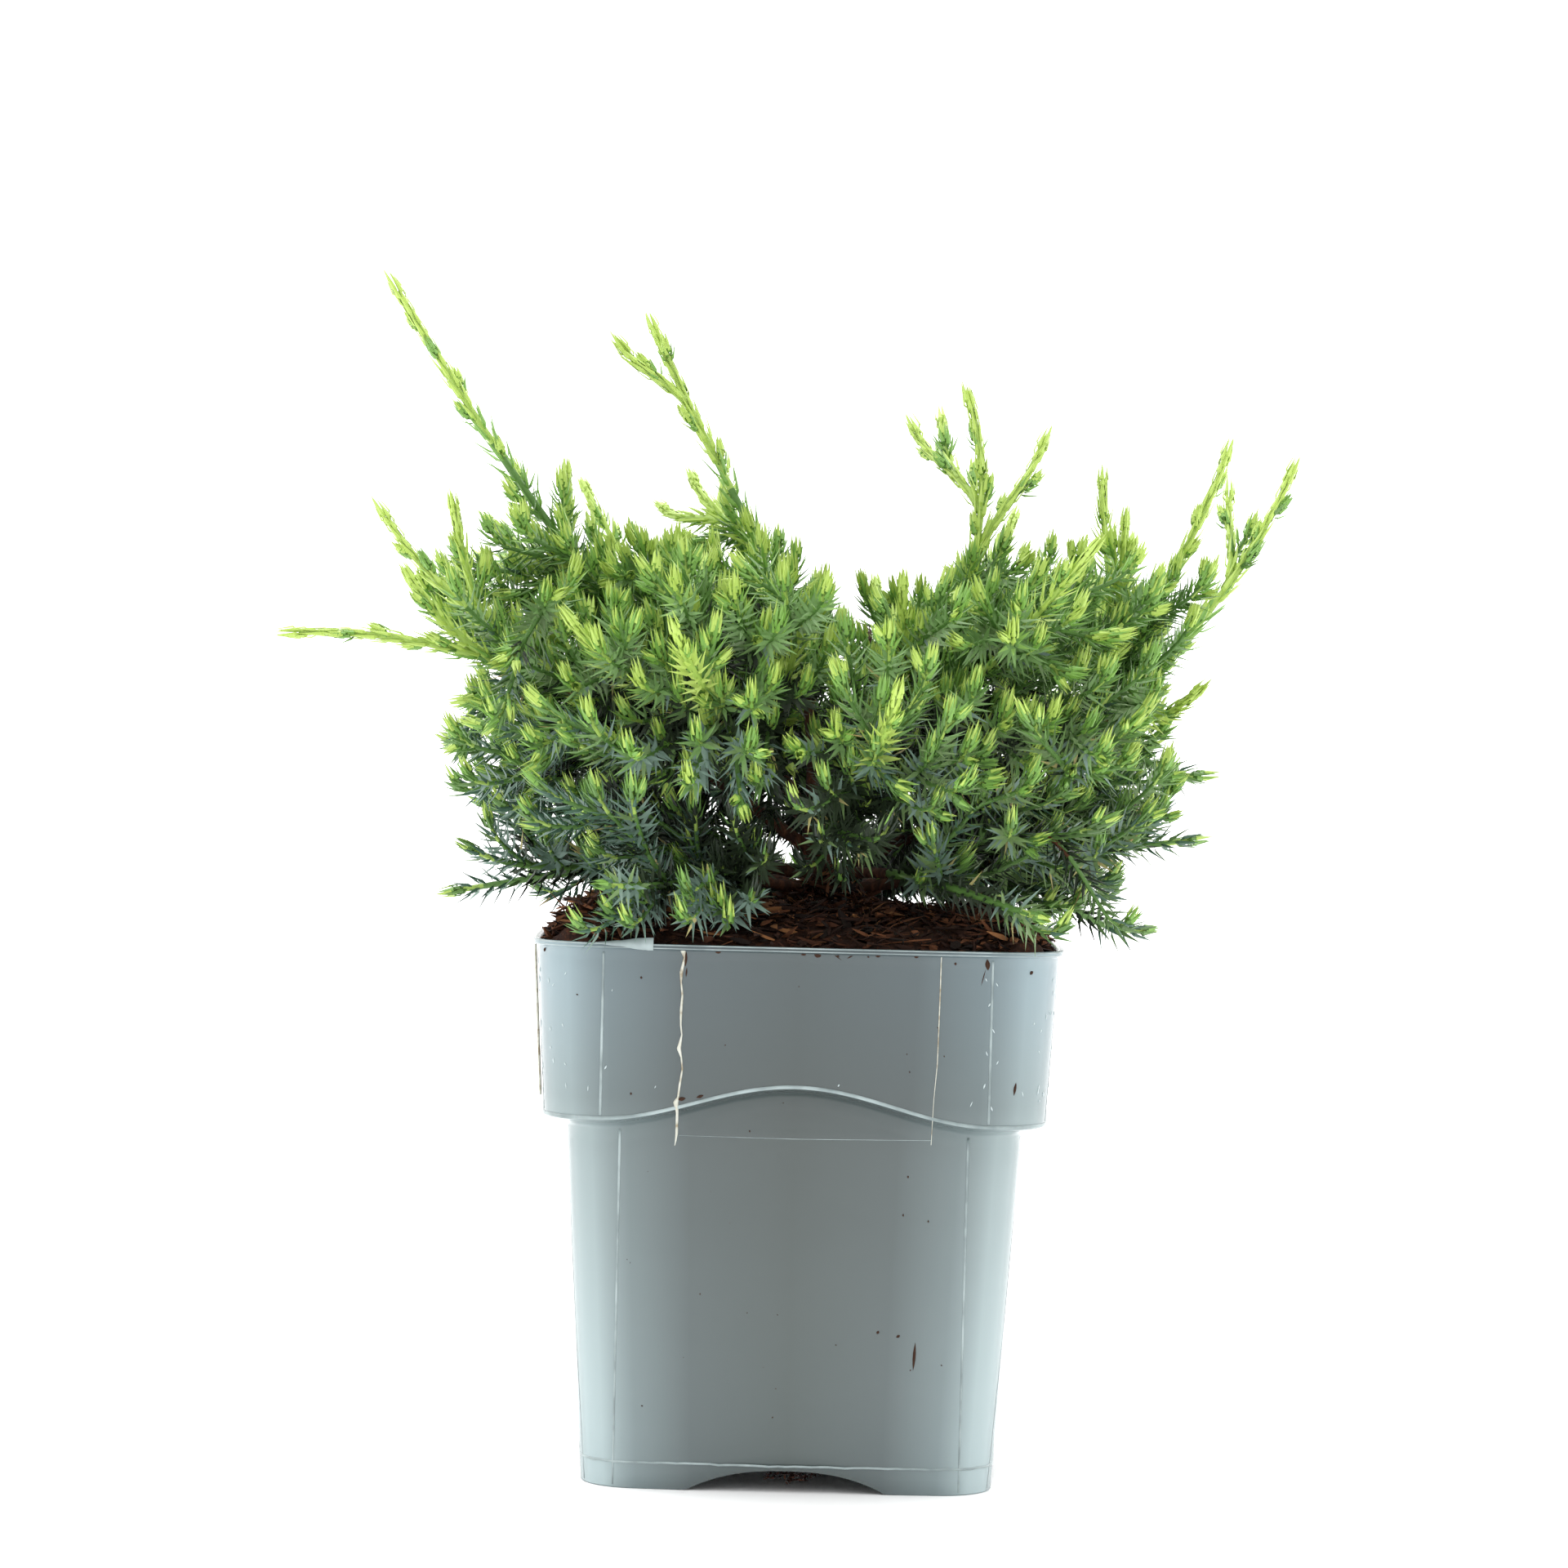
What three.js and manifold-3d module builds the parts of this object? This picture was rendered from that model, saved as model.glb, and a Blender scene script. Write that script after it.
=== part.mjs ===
// Potted flaky juniper: a young spreading conifer in a rounded square plastic nursery pot.
// Millimetres, +Z up. The origin is on the floor, under the middle of the pot. The front is -Y.

import * as THREE from 'three';
import { mergeVertices } from 'three/addons/utils/BufferGeometryUtils.js';
import Module from 'manifold-3d';

const wasm = await Module();
wasm.setup();

// Gap kept between two solids that meet
const GAP = 0.3;

// Pot: half widths are taken at the middle of a face
const POT_HEIGHT = 172.5;
const LIP_HALF = 85;
const LIP_DEPTH = 1.8;
const LIP_STEP = 0.3;
const COLLAR_TOP_HALF = 83.8;
const COLLAR_FOOT_HALF = 81;
const WAIST_HALF = 73.6;
const FOOT_HALF = 66.9;
const COLLAR_CORNER = 23;
const BODY_CORNER = 18;
const FACE_BULGE = 1.6;
const WALL = 1.8;
const COLLAR_EDGE_LOW = 117;
const COLLAR_EDGE_HIGH = 128.3;
const COLLAR_WAVE_HALF = 62;
const COLLAR_EDGE_IN = 0.7;
const COLLAR_EDGE_DROP = 0.3;
const COLLAR_EDGE_RISE = 1;
const SHOULDER_DROP = 3.4;
const INNER_SHOULDER_RISE = 1.9;
const INNER_EDGE_RISE = 1.5;
const FLOOR_FILLET = 0.4;
const FLOOR_UNDERSIDE = 7.6;
const FLOOR_TOP = 9.4;
const ARCH_TOP = 6.8;
const ARCH_HALF = 31.6;
const ARCH_SHAPE = 2.5;
const SLOT_SIZE = [26, 8, 10];
const SLOT_OUT = 49;

// Stations round the pot: eight steps along each face and four round each corner
const ARCH_SHARE = ARCH_HALF / (FOOT_HALF - FACE_BULGE - BODY_CORNER);
const FACE_STEPS = [-1, -ARCH_SHARE, -0.43, -0.215, 0, 0.215, 0.43, ARCH_SHARE, 1];
const CORNER_STEPS = 4;
const SIDE_STATIONS = FACE_STEPS.length + CORNER_STEPS - 1;
const STATIONS = 4 * SIDE_STATIONS;

// Soil: heaped a little above the rim and level round the foot of the trunk
const SOIL_EDGE = 170.6;
const SOIL_TOP = 181;
const SOIL_HEAP_POWER = 6;
const SOIL_RELIEF = 1.3;
const SOIL_LEVEL_RADIUS = 15;
const SOIL_SLACK = 0.4;
const SOIL_RING_SHARES = [0.93, 0.82, 0.64, 0.42, 0.2];

// Trunk: from the flat cut at soil level to the fork
const TRUNK_FOOT = new THREE.Vector3(8, 0, SOIL_TOP + GAP);
const TRUNK_FORK = new THREE.Vector3(3, 3, 214);
const TRUNK_SIDES = 12;
const TRUNK_RINGS = 8;
const TRUNK_RADIUS = 5.6;
const TRUNK_FORK_RADIUS = 3.8;
const TRUNK_CROWNING = 1.2;
const FLARE = 3.4;
const FLARE_HEIGHT = 7;
const FLARE_LOBES = 4;
const FLARE_LOBE_DEPTH = 0.25;
const TRUNK_FIRST_HANDLE = new THREE.Vector3(0, 0, 10);
const TRUNK_LAST_HANDLE = new THREE.Vector3(2, -1, -9);

// Limbs: each one is a bough that runs on, after a gap, as the stem of its foliage
const BOUGH_ROOT_RADIUS = 2.3;
const BOUGH_END_RADIUS = 1.6;
const STEM_TIP_RADIUS = 0.55;
const BOUGH_SIDES = 6;
const BOUGH_RINGS = 4;
const LIMB_FIRST_HANDLE = 0.38;
const LIMB_LAST_HANDLE = 0.34;

// Crown: the rounded body of shoots that the long leaders stand out of
const CROWN_MIDDLE = new THREE.Vector3(3, 0, 238);
const CROWN_HALF_X = 119;
const CROWN_HALF_Y = 106;
const CROWN_RISE = 67;
const CROWN_DROP = 50;
const CROWN_FULLNESS = 2.6;
const CROWN_DIP = 20;
const CROWN_DIP_PLACE = [22, 0];
const CROWN_DIP_RADIUS = 28;
const CROWN_SHELL = 0.32;

// Shoots: short twigs with whorls of three needles, drawn larger than life
const SHOOT_SPACING = 22;
const SHOOT_TRIES = 6000;
const SHOOT_SEED = 1709;
const SHOOT_MIN_LENGTH = 11;
const SHOOT_MAX_LENGTH = 62;
const SHOOT_MIN_LEAN = 0.5;
const LEADER_MIN_LENGTH = 28;
const LEADER_TURN_COST = 5;
const SHOOT_RADIUS = 1.7;
const SHOOT_TIP_RADIUS = 1;
const WHORL_STEP = 8.5;
const LEADER_WHORL_STEP = 10;
const NEEDLE_LENGTH = 17;
const LEADER_NEEDLE_LENGTH = 12;
const NEEDLE_SPREAD = 58;
const NEEDLE_SPREAD_TIP = 26;
const LEADER_NEEDLE_SPREAD = 20;
const NEEDLE_ROOM = 2.4;
const NEEDLE_TEST_SHARES = [0.4, 0.7, 1];
const SHOOT_TURN_UP = 0.45;
const SHOOT_BRANCH_LEAN = 0.6;
const SHOOT_HANDLE = 0.35;
const ROOT_STEP = 4;
const CELL_MARGIN = 0.25;
const SOIL_CLEARANCE = 2;
const TIP_CLEARANCE = 4;
const RIM_REACH = 6;
const HANG_DEPTH = 12;
const FINE_DETAIL = 0.02;

// Main limbs: where each springs from the trunk (share of its height), the way it sets out and ends
// (degrees round from +X and up from level), its tip, the share of it that is bare bough, and the share
// at the heart of its foliage
const LIMBS = {
  top_left: { root: 0.83, out: [172, 42], end: [178, 58], tip: [-138, 15, 382], bare: 0.25, heart: 0.44 },
  top_centre: { root: 1, out: [70, 80], end: [170, 66], tip: [-53, 25, 372], bare: 0.22, heart: 0.54 },
  top_right: { root: 0.83, out: [4, 46], end: [160, 72], tip: [52, 0, 348], bare: 0.28, heart: 0.56 },
  far_left: { root: 0.5, out: [200, 36], end: [192, -4], tip: [-162, -42, 267], bare: 0.26, heart: 0.56 },
  far_right: { root: 0.31, out: [10, 24], end: [20, 66], tip: [161, 35, 329], bare: 0.43, heart: 0.6 },
  front_left: { root: 0.69, out: [240, 48], end: [255, 38], tip: [-40, -118, 270], bare: 0.26, heart: 0.62 },
  front_right: { root: 0.69, out: [322, 42], end: [325, 48], tip: [88, -78, 298], bare: 0.26, heart: 0.6 },
  front: { root: 0.5, out: [278, 28], end: [280, 42], tip: [28, -122, 252], bare: 0.28, heart: 0.62 },
  back_left: { root: 0.67, out: [130, 44], end: [128, 50], tip: [-78, 98, 322], bare: 0.24, heart: 0.52 },
  back_right: { root: 0.69, out: [50, 44], end: [60, 52], tip: [72, 110, 316], bare: 0.26, heart: 0.54 },
  back: { root: 0.5, out: [98, 30], end: [95, 44], tip: [-2, 122, 268], bare: 0.28, heart: 0.62 },
  low_left: { root: 0.31, out: [180, 12], end: [180, -10], tip: [-114, 10, 184], bare: 0.34, heart: 0.68 },
  low_front_left: { root: 0.12, out: [230, 14], end: [240, 4], tip: [-60, -104, 191], bare: 0.32, heart: 0.68 },
  low_front_right: { root: 0.31, out: [304, 10], end: [305, -8], tip: [74, -96, 184], bare: 0.32, heart: 0.68 },
  low_right: { root: 0.12, out: [350, 14], end: [0, 8], tip: [128, -6, 207], bare: 0.38, heart: 0.7 },
  low_back_right: { root: 0.12, out: [50, 12], end: [48, 2], tip: [76, 96, 192], bare: 0.32, heart: 0.68 },
  low_back_left: { root: 0.12, out: [130, 14], end: [130, 2], tip: [-70, 98, 190], bare: 0.32, heart: 0.68 },
};

// Tips of the other leaders that stand out of the crown
const LEADER_TIPS = [
  [-138, -8, 306], [-115, -20, 309], [-107, 36, 307], [-89, 0, 303], [-127, -34, 285], [-81, 20, 323],
  [-62, 14, 364], [-39, 45, 323], [-49, 52, 314], [-73, -80, 272], [-1, -66, 279],
  [35, 20, 340], [44, 45, 345], [76, 10, 335], [98, 30, 325], [103, -10, 310], [137, 12, 333], [142, 48, 322],
  [30, -70, 286], [126, -28, 255], [132, 14, 228], [115, 22, 176],
  [-108, -14, 199], [-116, 4, 234], [24, 84, 290], [-30, 96, 330], [112, 78, 306], [-112, 66, 296],
];

// What sets stems, leaders and short shoots apart
const SHORT_LOOK = {
  whorlStep: WHORL_STEP,
  radius: SHOOT_RADIUS,
  tipRadius: SHOOT_TIP_RADIUS,
  needle: NEEDLE_LENGTH,
  spread: NEEDLE_SPREAD,
  tipSpread: NEEDLE_SPREAD_TIP,
  turnCost: 0,
  nearest: 0,
  longest: SHOOT_MAX_LENGTH,
};
const LEADER_LOOK = {
  ...SHORT_LOOK,
  whorlStep: LEADER_WHORL_STEP,
  needle: LEADER_NEEDLE_LENGTH,
  tipSpread: LEADER_NEEDLE_SPREAD,
  turnCost: LEADER_TURN_COST,
  nearest: LEADER_MIN_LENGTH,
  longest: Infinity,
};
const STEM_LOOK = {
  ...LEADER_LOOK,
  radius: BOUGH_END_RADIUS,
  tipRadius: STEM_TIP_RADIUS,
};

// Steps at which a curve's frames are worked out
const FRAME_STEPS = 200;

const UP = new THREE.Vector3(0, 0, 1);
const degrees = THREE.MathUtils.degToRad;

// Colours, roughness and metalness of the pieces
const FINISH = {
  pot: new THREE.MeshStandardMaterial({ color: 0x8fa0a2, roughness: 0.35, metalness: 0 }),
  soil: new THREE.MeshStandardMaterial({ color: 0x4a2a1a, roughness: 0.95, metalness: 0 }),
  bark: new THREE.MeshStandardMaterial({ color: 0x6b4028, roughness: 0.85, metalness: 0 }),
  foliage: new THREE.MeshStandardMaterial({ color: 0x6f9c45, roughness: 0.6, metalness: 0 }),
};

// Seeded random numbers from 0 to 1, the same in every run
function randomFrom(seed) {
  let state = seed >>> 0;
  return () => {
    state = (state + 0x6d2b79f5) >>> 0;
    let mixed = Math.imul(state ^ (state >>> 15), state | 1);
    mixed = (mixed + Math.imul(mixed ^ (mixed >>> 7), mixed | 61)) ^ mixed;
    return ((mixed ^ (mixed >>> 14)) >>> 0) / 4294967296;
  };
}

// Direction from its bearing round from +X and its rise from level
function heading([bearing, rise]) {
  const level = Math.cos(degrees(rise));
  return new THREE.Vector3(
    level * Math.cos(degrees(bearing)),
    level * Math.sin(degrees(bearing)),
    Math.sin(degrees(rise)),
  );
}

// Solids from meshes and back

function geometryOf(points, faces) {
  const geometry = new THREE.BufferGeometry();
  geometry.setAttribute('position', new THREE.Float32BufferAttribute(points.flatMap((p) => [p.x, p.y, p.z]), 3));
  geometry.setIndex(faces.flat());
  return geometry;
}

function solidOf(geometry) {
  const bare = geometry.clone();
  bare.deleteAttribute('normal');
  bare.deleteAttribute('uv');
  const merged = mergeVertices(bare, 1e-4);
  const mesh = new wasm.Mesh({
    numProp: 3,
    vertProperties: new Float32Array(merged.attributes.position.array),
    triVerts: new Uint32Array(merged.index.array),
  });
  return new wasm.Manifold(mesh);
}

function geometryFrom(solid) {
  const mesh = solid.getMesh();
  const geometry = new THREE.BufferGeometry();
  geometry.setAttribute('position', new THREE.Float32BufferAttribute(mesh.vertProperties, 3));
  geometry.setIndex(Array.from(mesh.triVerts));
  return geometry;
}

// The largest whole body, with loose scraps and sealed hollows left out
function mainBody(solid) {
  const bodies = solid.decompose();
  return bodies.reduce((best, body) => (body.volume() > best.volume() ? body : best));
}

// Pot

// Place round a rounded square with slightly full faces: where it is and how far along its face
function outlineAt(station, half, corner) {
  const side = Math.floor(station / SIDE_STATIONS) % 4;
  const step = station % SIDE_STATIONS;
  const flat = half - FACE_BULGE - corner;
  let along;
  let out;
  if (step < FACE_STEPS.length) {
    const share = FACE_STEPS[step];
    along = share * flat;
    out = half - FACE_BULGE * share * share;
  } else {
    const turn = (Math.PI / 2) * ((step - FACE_STEPS.length + 1) / CORNER_STEPS);
    along = flat + corner * Math.sin(turn);
    out = flat + corner * Math.cos(turn);
  }
  const angle = (side * Math.PI) / 2;
  const x = out * Math.cos(angle) - along * Math.sin(angle);
  const y = out * Math.sin(angle) + along * Math.cos(angle);
  return { x, y, fromMiddle: Math.min(Math.abs(along), Math.abs(out)) };
}

// Height of the collar's wavy lower edge, by the distance from the middle of the face
function collarEdge(fromMiddle) {
  const share = Math.min(1, fromMiddle / COLLAR_WAVE_HALF);
  const wave = 0.5 + 0.5 * Math.cos(Math.PI * share);
  return COLLAR_EDGE_LOW + (COLLAR_EDGE_HIGH - COLLAR_EDGE_LOW) * wave;
}

// Heights, inside the pot, of the collar's lower edge and of the shoulder under it
const innerEdge = (fromMiddle) => collarEdge(fromMiddle) + INNER_EDGE_RISE;
const innerShoulder = (fromMiddle) => collarEdge(fromMiddle) - SHOULDER_DROP + INNER_SHOULDER_RISE;

// Height of the foot, which is arched up in the middle of each face
function footHeight(fromMiddle) {
  const share = fromMiddle / ARCH_HALF;
  return ARCH_TOP * Math.max(0, 1 - share ** ARCH_SHAPE);
}

// One ring of points; its height is a number or a rule of the distance from the face's middle
function potRing(half, corner, height) {
  return Array.from({ length: STATIONS }, (_, station) => {
    const place = outlineAt(station, half, corner);
    const z = typeof height === 'number' ? height : height(place.fromMiddle);
    return new THREE.Vector3(place.x, place.y, z);
  });
}

// Closed body through rings of equal count, from a middle point at each end
function ringedBody(start, rings, end) {
  const count = rings[0].length;
  const points = [start, ...rings.flat(), end];
  const last = points.length - 1;
  const at = (ring, station) => 1 + ring * count + (station % count);
  const faces = [];
  for (let station = 0; station < count; station += 1) {
    faces.push([0, at(0, station + 1), at(0, station)]);
    faces.push([at(rings.length - 1, station), at(rings.length - 1, station + 1), last]);
    for (let ring = 0; ring + 1 < rings.length; ring += 1) {
      const corners = [at(ring, station), at(ring, station + 1), at(ring + 1, station + 1), at(ring + 1, station)];
      faces.push([corners[0], corners[1], corners[2]]);
      faces.push([corners[0], corners[2], corners[3]]);
    }
  }
  return geometryOf(points, faces);
}

function potGeometry() {
  const rings = [
    potRing(FOOT_HALF - WALL, BODY_CORNER - WALL, FLOOR_UNDERSIDE),
    potRing(FOOT_HALF - WALL, BODY_CORNER - WALL, footHeight),
    potRing(FOOT_HALF, BODY_CORNER, footHeight),
    potRing(WAIST_HALF, BODY_CORNER, (d) => collarEdge(d) - SHOULDER_DROP),
    potRing(COLLAR_FOOT_HALF - COLLAR_EDGE_IN, COLLAR_CORNER, (d) => collarEdge(d) - COLLAR_EDGE_DROP),
    potRing(COLLAR_FOOT_HALF, COLLAR_CORNER, (d) => collarEdge(d) + COLLAR_EDGE_RISE),
    potRing(COLLAR_TOP_HALF, COLLAR_CORNER, POT_HEIGHT - LIP_DEPTH - LIP_STEP),
    potRing(LIP_HALF, COLLAR_CORNER, POT_HEIGHT - LIP_DEPTH),
    potRing(LIP_HALF, COLLAR_CORNER, POT_HEIGHT),
    potRing(LIP_HALF - WALL, COLLAR_CORNER - WALL, POT_HEIGHT),
    potRing(COLLAR_TOP_HALF - WALL, COLLAR_CORNER - WALL, POT_HEIGHT - LIP_DEPTH),
    potRing(COLLAR_FOOT_HALF - WALL, COLLAR_CORNER - WALL, innerEdge),
    potRing(WAIST_HALF - WALL, BODY_CORNER - WALL, innerShoulder),
    potRing(FOOT_HALF - WALL + FLOOR_FILLET, BODY_CORNER - WALL, FLOOR_TOP),
  ];
  const underside = new THREE.Vector3(0, 0, FLOOR_UNDERSIDE);
  const inside = new THREE.Vector3(0, 0, FLOOR_TOP);
  let pot = solidOf(ringedBody(underside, rings, inside));
  for (let side = 0; side < 4; side += 1) {
    const slot = new THREE.BoxGeometry(...SLOT_SIZE);
    slot.translate(0, SLOT_OUT, FLOOR_TOP);
    slot.rotateZ((side * Math.PI) / 2);
    pot = pot.subtract(solidOf(slot));
  }
  return geometryFrom(pot);
}

// Soil

// Height of the heaped soil at a place inside the pot
function soilHeight(x, y) {
  const out = Math.min(1, Math.max(Math.abs(x), Math.abs(y)) / (COLLAR_TOP_HALF - WALL - SOIL_SLACK));
  const heap = SOIL_TOP - (SOIL_TOP - SOIL_EDGE) * out ** SOIL_HEAP_POWER;
  const away = Math.hypot(x - TRUNK_FOOT.x, y - TRUNK_FOOT.y) - SOIL_LEVEL_RADIUS;
  const rough = THREE.MathUtils.smoothstep(away, 0, SOIL_LEVEL_RADIUS);
  return heap + rough * SOIL_RELIEF * Math.sin(0.13 * x + 1.1) * Math.cos(0.11 * y - 0.4);
}

function soilGeometry() {
  const base = FOOT_HALF - WALL + FLOOR_FILLET - SOIL_SLACK;
  const waist = WAIST_HALF - WALL - SOIL_SLACK;
  const collarFoot = COLLAR_FOOT_HALF - WALL - SOIL_SLACK;
  const collarTop = COLLAR_TOP_HALF - WALL - SOIL_SLACK;
  const bodyCorner = BODY_CORNER - WALL;
  const collarCorner = COLLAR_CORNER - WALL;
  const edge = potRing(collarTop, collarCorner, SOIL_EDGE - 1);
  const heap = SOIL_RING_SHARES.map((share) =>
    edge.map((point) => {
      const x = point.x * share;
      const y = point.y * share;
      return new THREE.Vector3(x, y, soilHeight(x, y));
    }),
  );
  const rings = [
    potRing(base, bodyCorner, FLOOR_TOP + SOIL_SLACK),
    potRing(waist, bodyCorner, (d) => innerShoulder(d) + SOIL_SLACK),
    potRing(collarFoot, collarCorner, (d) => innerEdge(d) + SOIL_SLACK),
    edge,
    ...heap,
  ];
  return ringedBody(new THREE.Vector3(0, 0, FLOOR_TOP + SOIL_SLACK), rings, new THREE.Vector3(0, 0, SOIL_TOP));
}

// Trunk and boughs

// Closed tube of rings along a curve; radius is a rule of the share along it and the angle round it
function tubeGeometry(curve, from, to, sides, steps, radius) {
  const frames = curve.computeFrenetFrames(FRAME_STEPS, false);
  const rings = [];
  for (let step = 0; step <= steps; step += 1) {
    const share = from + ((to - from) * step) / steps;
    const frame = Math.round(share * FRAME_STEPS);
    const middle = curve.getPointAt(share);
    rings.push(
      Array.from({ length: sides }, (_, side) => {
        const angle = (2 * Math.PI * side) / sides;
        const out = radius(step / steps, angle);
        return middle
          .clone()
          .addScaledVector(frames.normals[frame], out * Math.cos(angle))
          .addScaledVector(frames.binormals[frame], out * Math.sin(angle));
      }),
    );
  }
  return ringedBody(curve.getPointAt(from), rings, curve.getPointAt(to));
}

const trunkCurve = new THREE.CubicBezierCurve3(
  TRUNK_FOOT,
  TRUNK_FOOT.clone().add(TRUNK_FIRST_HANDLE),
  TRUNK_FORK.clone().add(TRUNK_LAST_HANDLE),
  TRUNK_FORK,
);

// Level ring round the trunk at a share of its height, wider by `extra`
function trunkRing(share, extra) {
  const middle = trunkCurve.getPointAt(share);
  const height = middle.z - TRUNK_FOOT.z;
  const flare = Math.max(0, 1 - height / FLARE_HEIGHT) ** 2;
  return Array.from({ length: TRUNK_SIDES }, (_, side) => {
    const angle = (2 * Math.PI * side) / TRUNK_SIDES;
    const lobe = 1 - FLARE_LOBE_DEPTH + FLARE_LOBE_DEPTH * Math.cos(FLARE_LOBES * angle);
    const radius = THREE.MathUtils.lerp(TRUNK_RADIUS, TRUNK_FORK_RADIUS, share) + FLARE * flare * lobe + extra;
    return new THREE.Vector3(middle.x + radius * Math.cos(angle), middle.y + radius * Math.sin(angle), middle.z);
  });
}

function trunkGeometry(extra) {
  const rings = Array.from({ length: TRUNK_RINGS + 1 }, (_, ring) => trunkRing(ring / TRUNK_RINGS, extra));
  const foot = TRUNK_FOOT.clone();
  const top = TRUNK_FORK.clone();
  top.z += TRUNK_CROWNING + extra;
  return ringedBody(foot, rings, top);
}

// One limb: its curve from the trunk's axis to its tip, and where its bough ends
function limbCurve(limb) {
  const root = trunkCurve.getPointAt(limb.root);
  const tip = new THREE.Vector3(...limb.tip);
  const reach = root.distanceTo(tip);
  return new THREE.CubicBezierCurve3(
    root,
    root.clone().addScaledVector(heading(limb.out), LIMB_FIRST_HANDLE * reach),
    tip.clone().addScaledVector(heading(limb.end), -LIMB_LAST_HANDLE * reach),
    tip,
  );
}

const clearTrunk = solidOf(trunkGeometry(1.5 * GAP));

function boughGeometry(limb) {
  const taper = (share) => THREE.MathUtils.lerp(BOUGH_ROOT_RADIUS, BOUGH_END_RADIUS, share);
  const tube = tubeGeometry(limb.curve, 0, limb.bare, BOUGH_SIDES, BOUGH_RINGS, taper);
  return geometryFrom(mainBody(solidOf(tube).subtract(clearTrunk)));
}

// Foliage

// Point on the crown's surface, or inside it for a depth over 0, in the direction of a point on a ball
function crownPoint(ball, depth) {
  const power = CROWN_FULLNESS;
  const size = (Math.abs(ball.x) ** power + Math.abs(ball.y) ** power + Math.abs(ball.z) ** power) ** (1 / power);
  const share = (1 - depth) / size;
  const point = new THREE.Vector3(
    CROWN_MIDDLE.x + CROWN_HALF_X * ball.x * share,
    CROWN_MIDDLE.y + CROWN_HALF_Y * ball.y * share,
    CROWN_MIDDLE.z + (ball.z > 0 ? CROWN_RISE : CROWN_DROP) * ball.z * share,
  );
  const aside = Math.hypot(point.x - CROWN_DIP_PLACE[0], point.y - CROWN_DIP_PLACE[1]) / CROWN_DIP_RADIUS;
  if (ball.z > 0) point.z -= CROWN_DIP * Math.exp(-aside * aside) * ball.z;
  return point;
}

// Lowest height at which foliage may hang at a place: over the soil, or beside the pot
function lowestAt(x, y) {
  const out = Math.max(Math.abs(x), Math.abs(y));
  if (out > LIP_HALF + SOIL_CLEARANCE) return POT_HEIGHT - HANG_DEPTH;
  if (out > COLLAR_TOP_HALF - RIM_REACH) return POT_HEIGHT + SOIL_CLEARANCE;
  return soilHeight(x, y) + SOIL_CLEARANCE;
}

// Tips of the short shoots: thrown at random into the crown's outer layer and kept an even way apart
function crownTips() {
  const random = randomFrom(SHOOT_SEED);
  const kept = [...leaderTips];
  const tips = [];
  for (let attempt = 0; attempt < SHOOT_TRIES; attempt += 1) {
    const height = 2 * random() - 1;
    const bearing = 2 * Math.PI * random();
    const depth = CROWN_SHELL * random();
    const level = Math.sqrt(1 - height * height);
    const ball = { x: level * Math.cos(bearing), y: level * Math.sin(bearing), z: height };
    const point = crownPoint(ball, depth);
    const low = point.z < lowestAt(point.x, point.y) + TIP_CLEARANCE;
    if (!low && kept.every((other) => other.distanceTo(point) > SHOOT_SPACING)) {
      kept.push(point);
      tips.push(point);
    }
  }
  return tips;
}

// The limb in whose space a point lies: the one whose heart is nearest
function spaceOf(point) {
  return limbs.reduce((best, limb) =>
    point.distanceTo(limb.heartPoint) < point.distanceTo(best.heartPoint) ? limb : best,
  );
}

// Whether a point lies in a limb's own space, clear of its borders
function inSpace(point, limb) {
  if (point.z < lowestAt(point.x, point.y)) return false;
  return limbs.every((other) => {
    if (other === limb) return true;
    const across = other.heartPoint.clone().sub(limb.heartPoint).normalize();
    const border = limb.heartPoint.clone().add(other.heartPoint).multiplyScalar(0.5);
    return point.clone().sub(border).dot(across) < -CELL_MARGIN;
  });
}

// A shoot springs from the nearest place on its limb that leans its way, and turns up at its end. For a
// leader, a place counts as farther off the more the leader would have to turn there.
function shootTo(tip, twigs, look) {
  let best = null;
  for (const { curve, from, to, length } of twigs) {
    const count = Math.ceil(length / ROOT_STEP);
    for (let step = 1; step < count; step += 1) {
      const share = from + ((to - from) * step) / count;
      const root = curve.getPointAt(share);
      const along = curve.getTangentAt(share);
      const way = tip.clone().sub(root);
      const distance = way.length();
      const lean = way.dot(along) / distance;
      const cost = distance * (1 + look.turnCost * (1 - lean));
      if (lean > SHOOT_MIN_LEAN && distance > look.nearest && (!best || cost < best.cost)) {
        best = { root, along, distance, cost, way: way.divideScalar(distance) };
      }
    }
  }
  if (!best || best.distance < SHOOT_MIN_LENGTH || best.distance > look.longest) return null;
  const first = best.along.clone().multiplyScalar(SHOOT_BRANCH_LEAN).add(best.way).normalize();
  const last = best.way.clone().addScaledVector(UP, SHOOT_TURN_UP).normalize();
  const handle = SHOOT_HANDLE * best.distance;
  const bend = best.root.clone().addScaledVector(first, handle);
  const lead = tip.clone().addScaledVector(last, -handle);
  return new THREE.CubicBezierCurve3(best.root, bend, lead, tip);
}

// A twig on a curve from a share of it on, ended where it would leave its limb's space
function twigOn(curve, from, look, limb) {
  const steps = Math.max(3, Math.round((curve.getLength() * (1 - from)) / look.whorlStep));
  const shareAt = (step) => from + ((1 - from) * step) / steps;
  let kept = 0;
  while (kept < steps && inSpace(curve.getPointAt(shareAt(kept + 1)), limb)) kept += 1;
  if (kept < 2) return null;
  const to = shareAt(kept);
  return { curve, from, to, steps: kept, length: curve.getLength() * (to - from), look };
}

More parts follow.
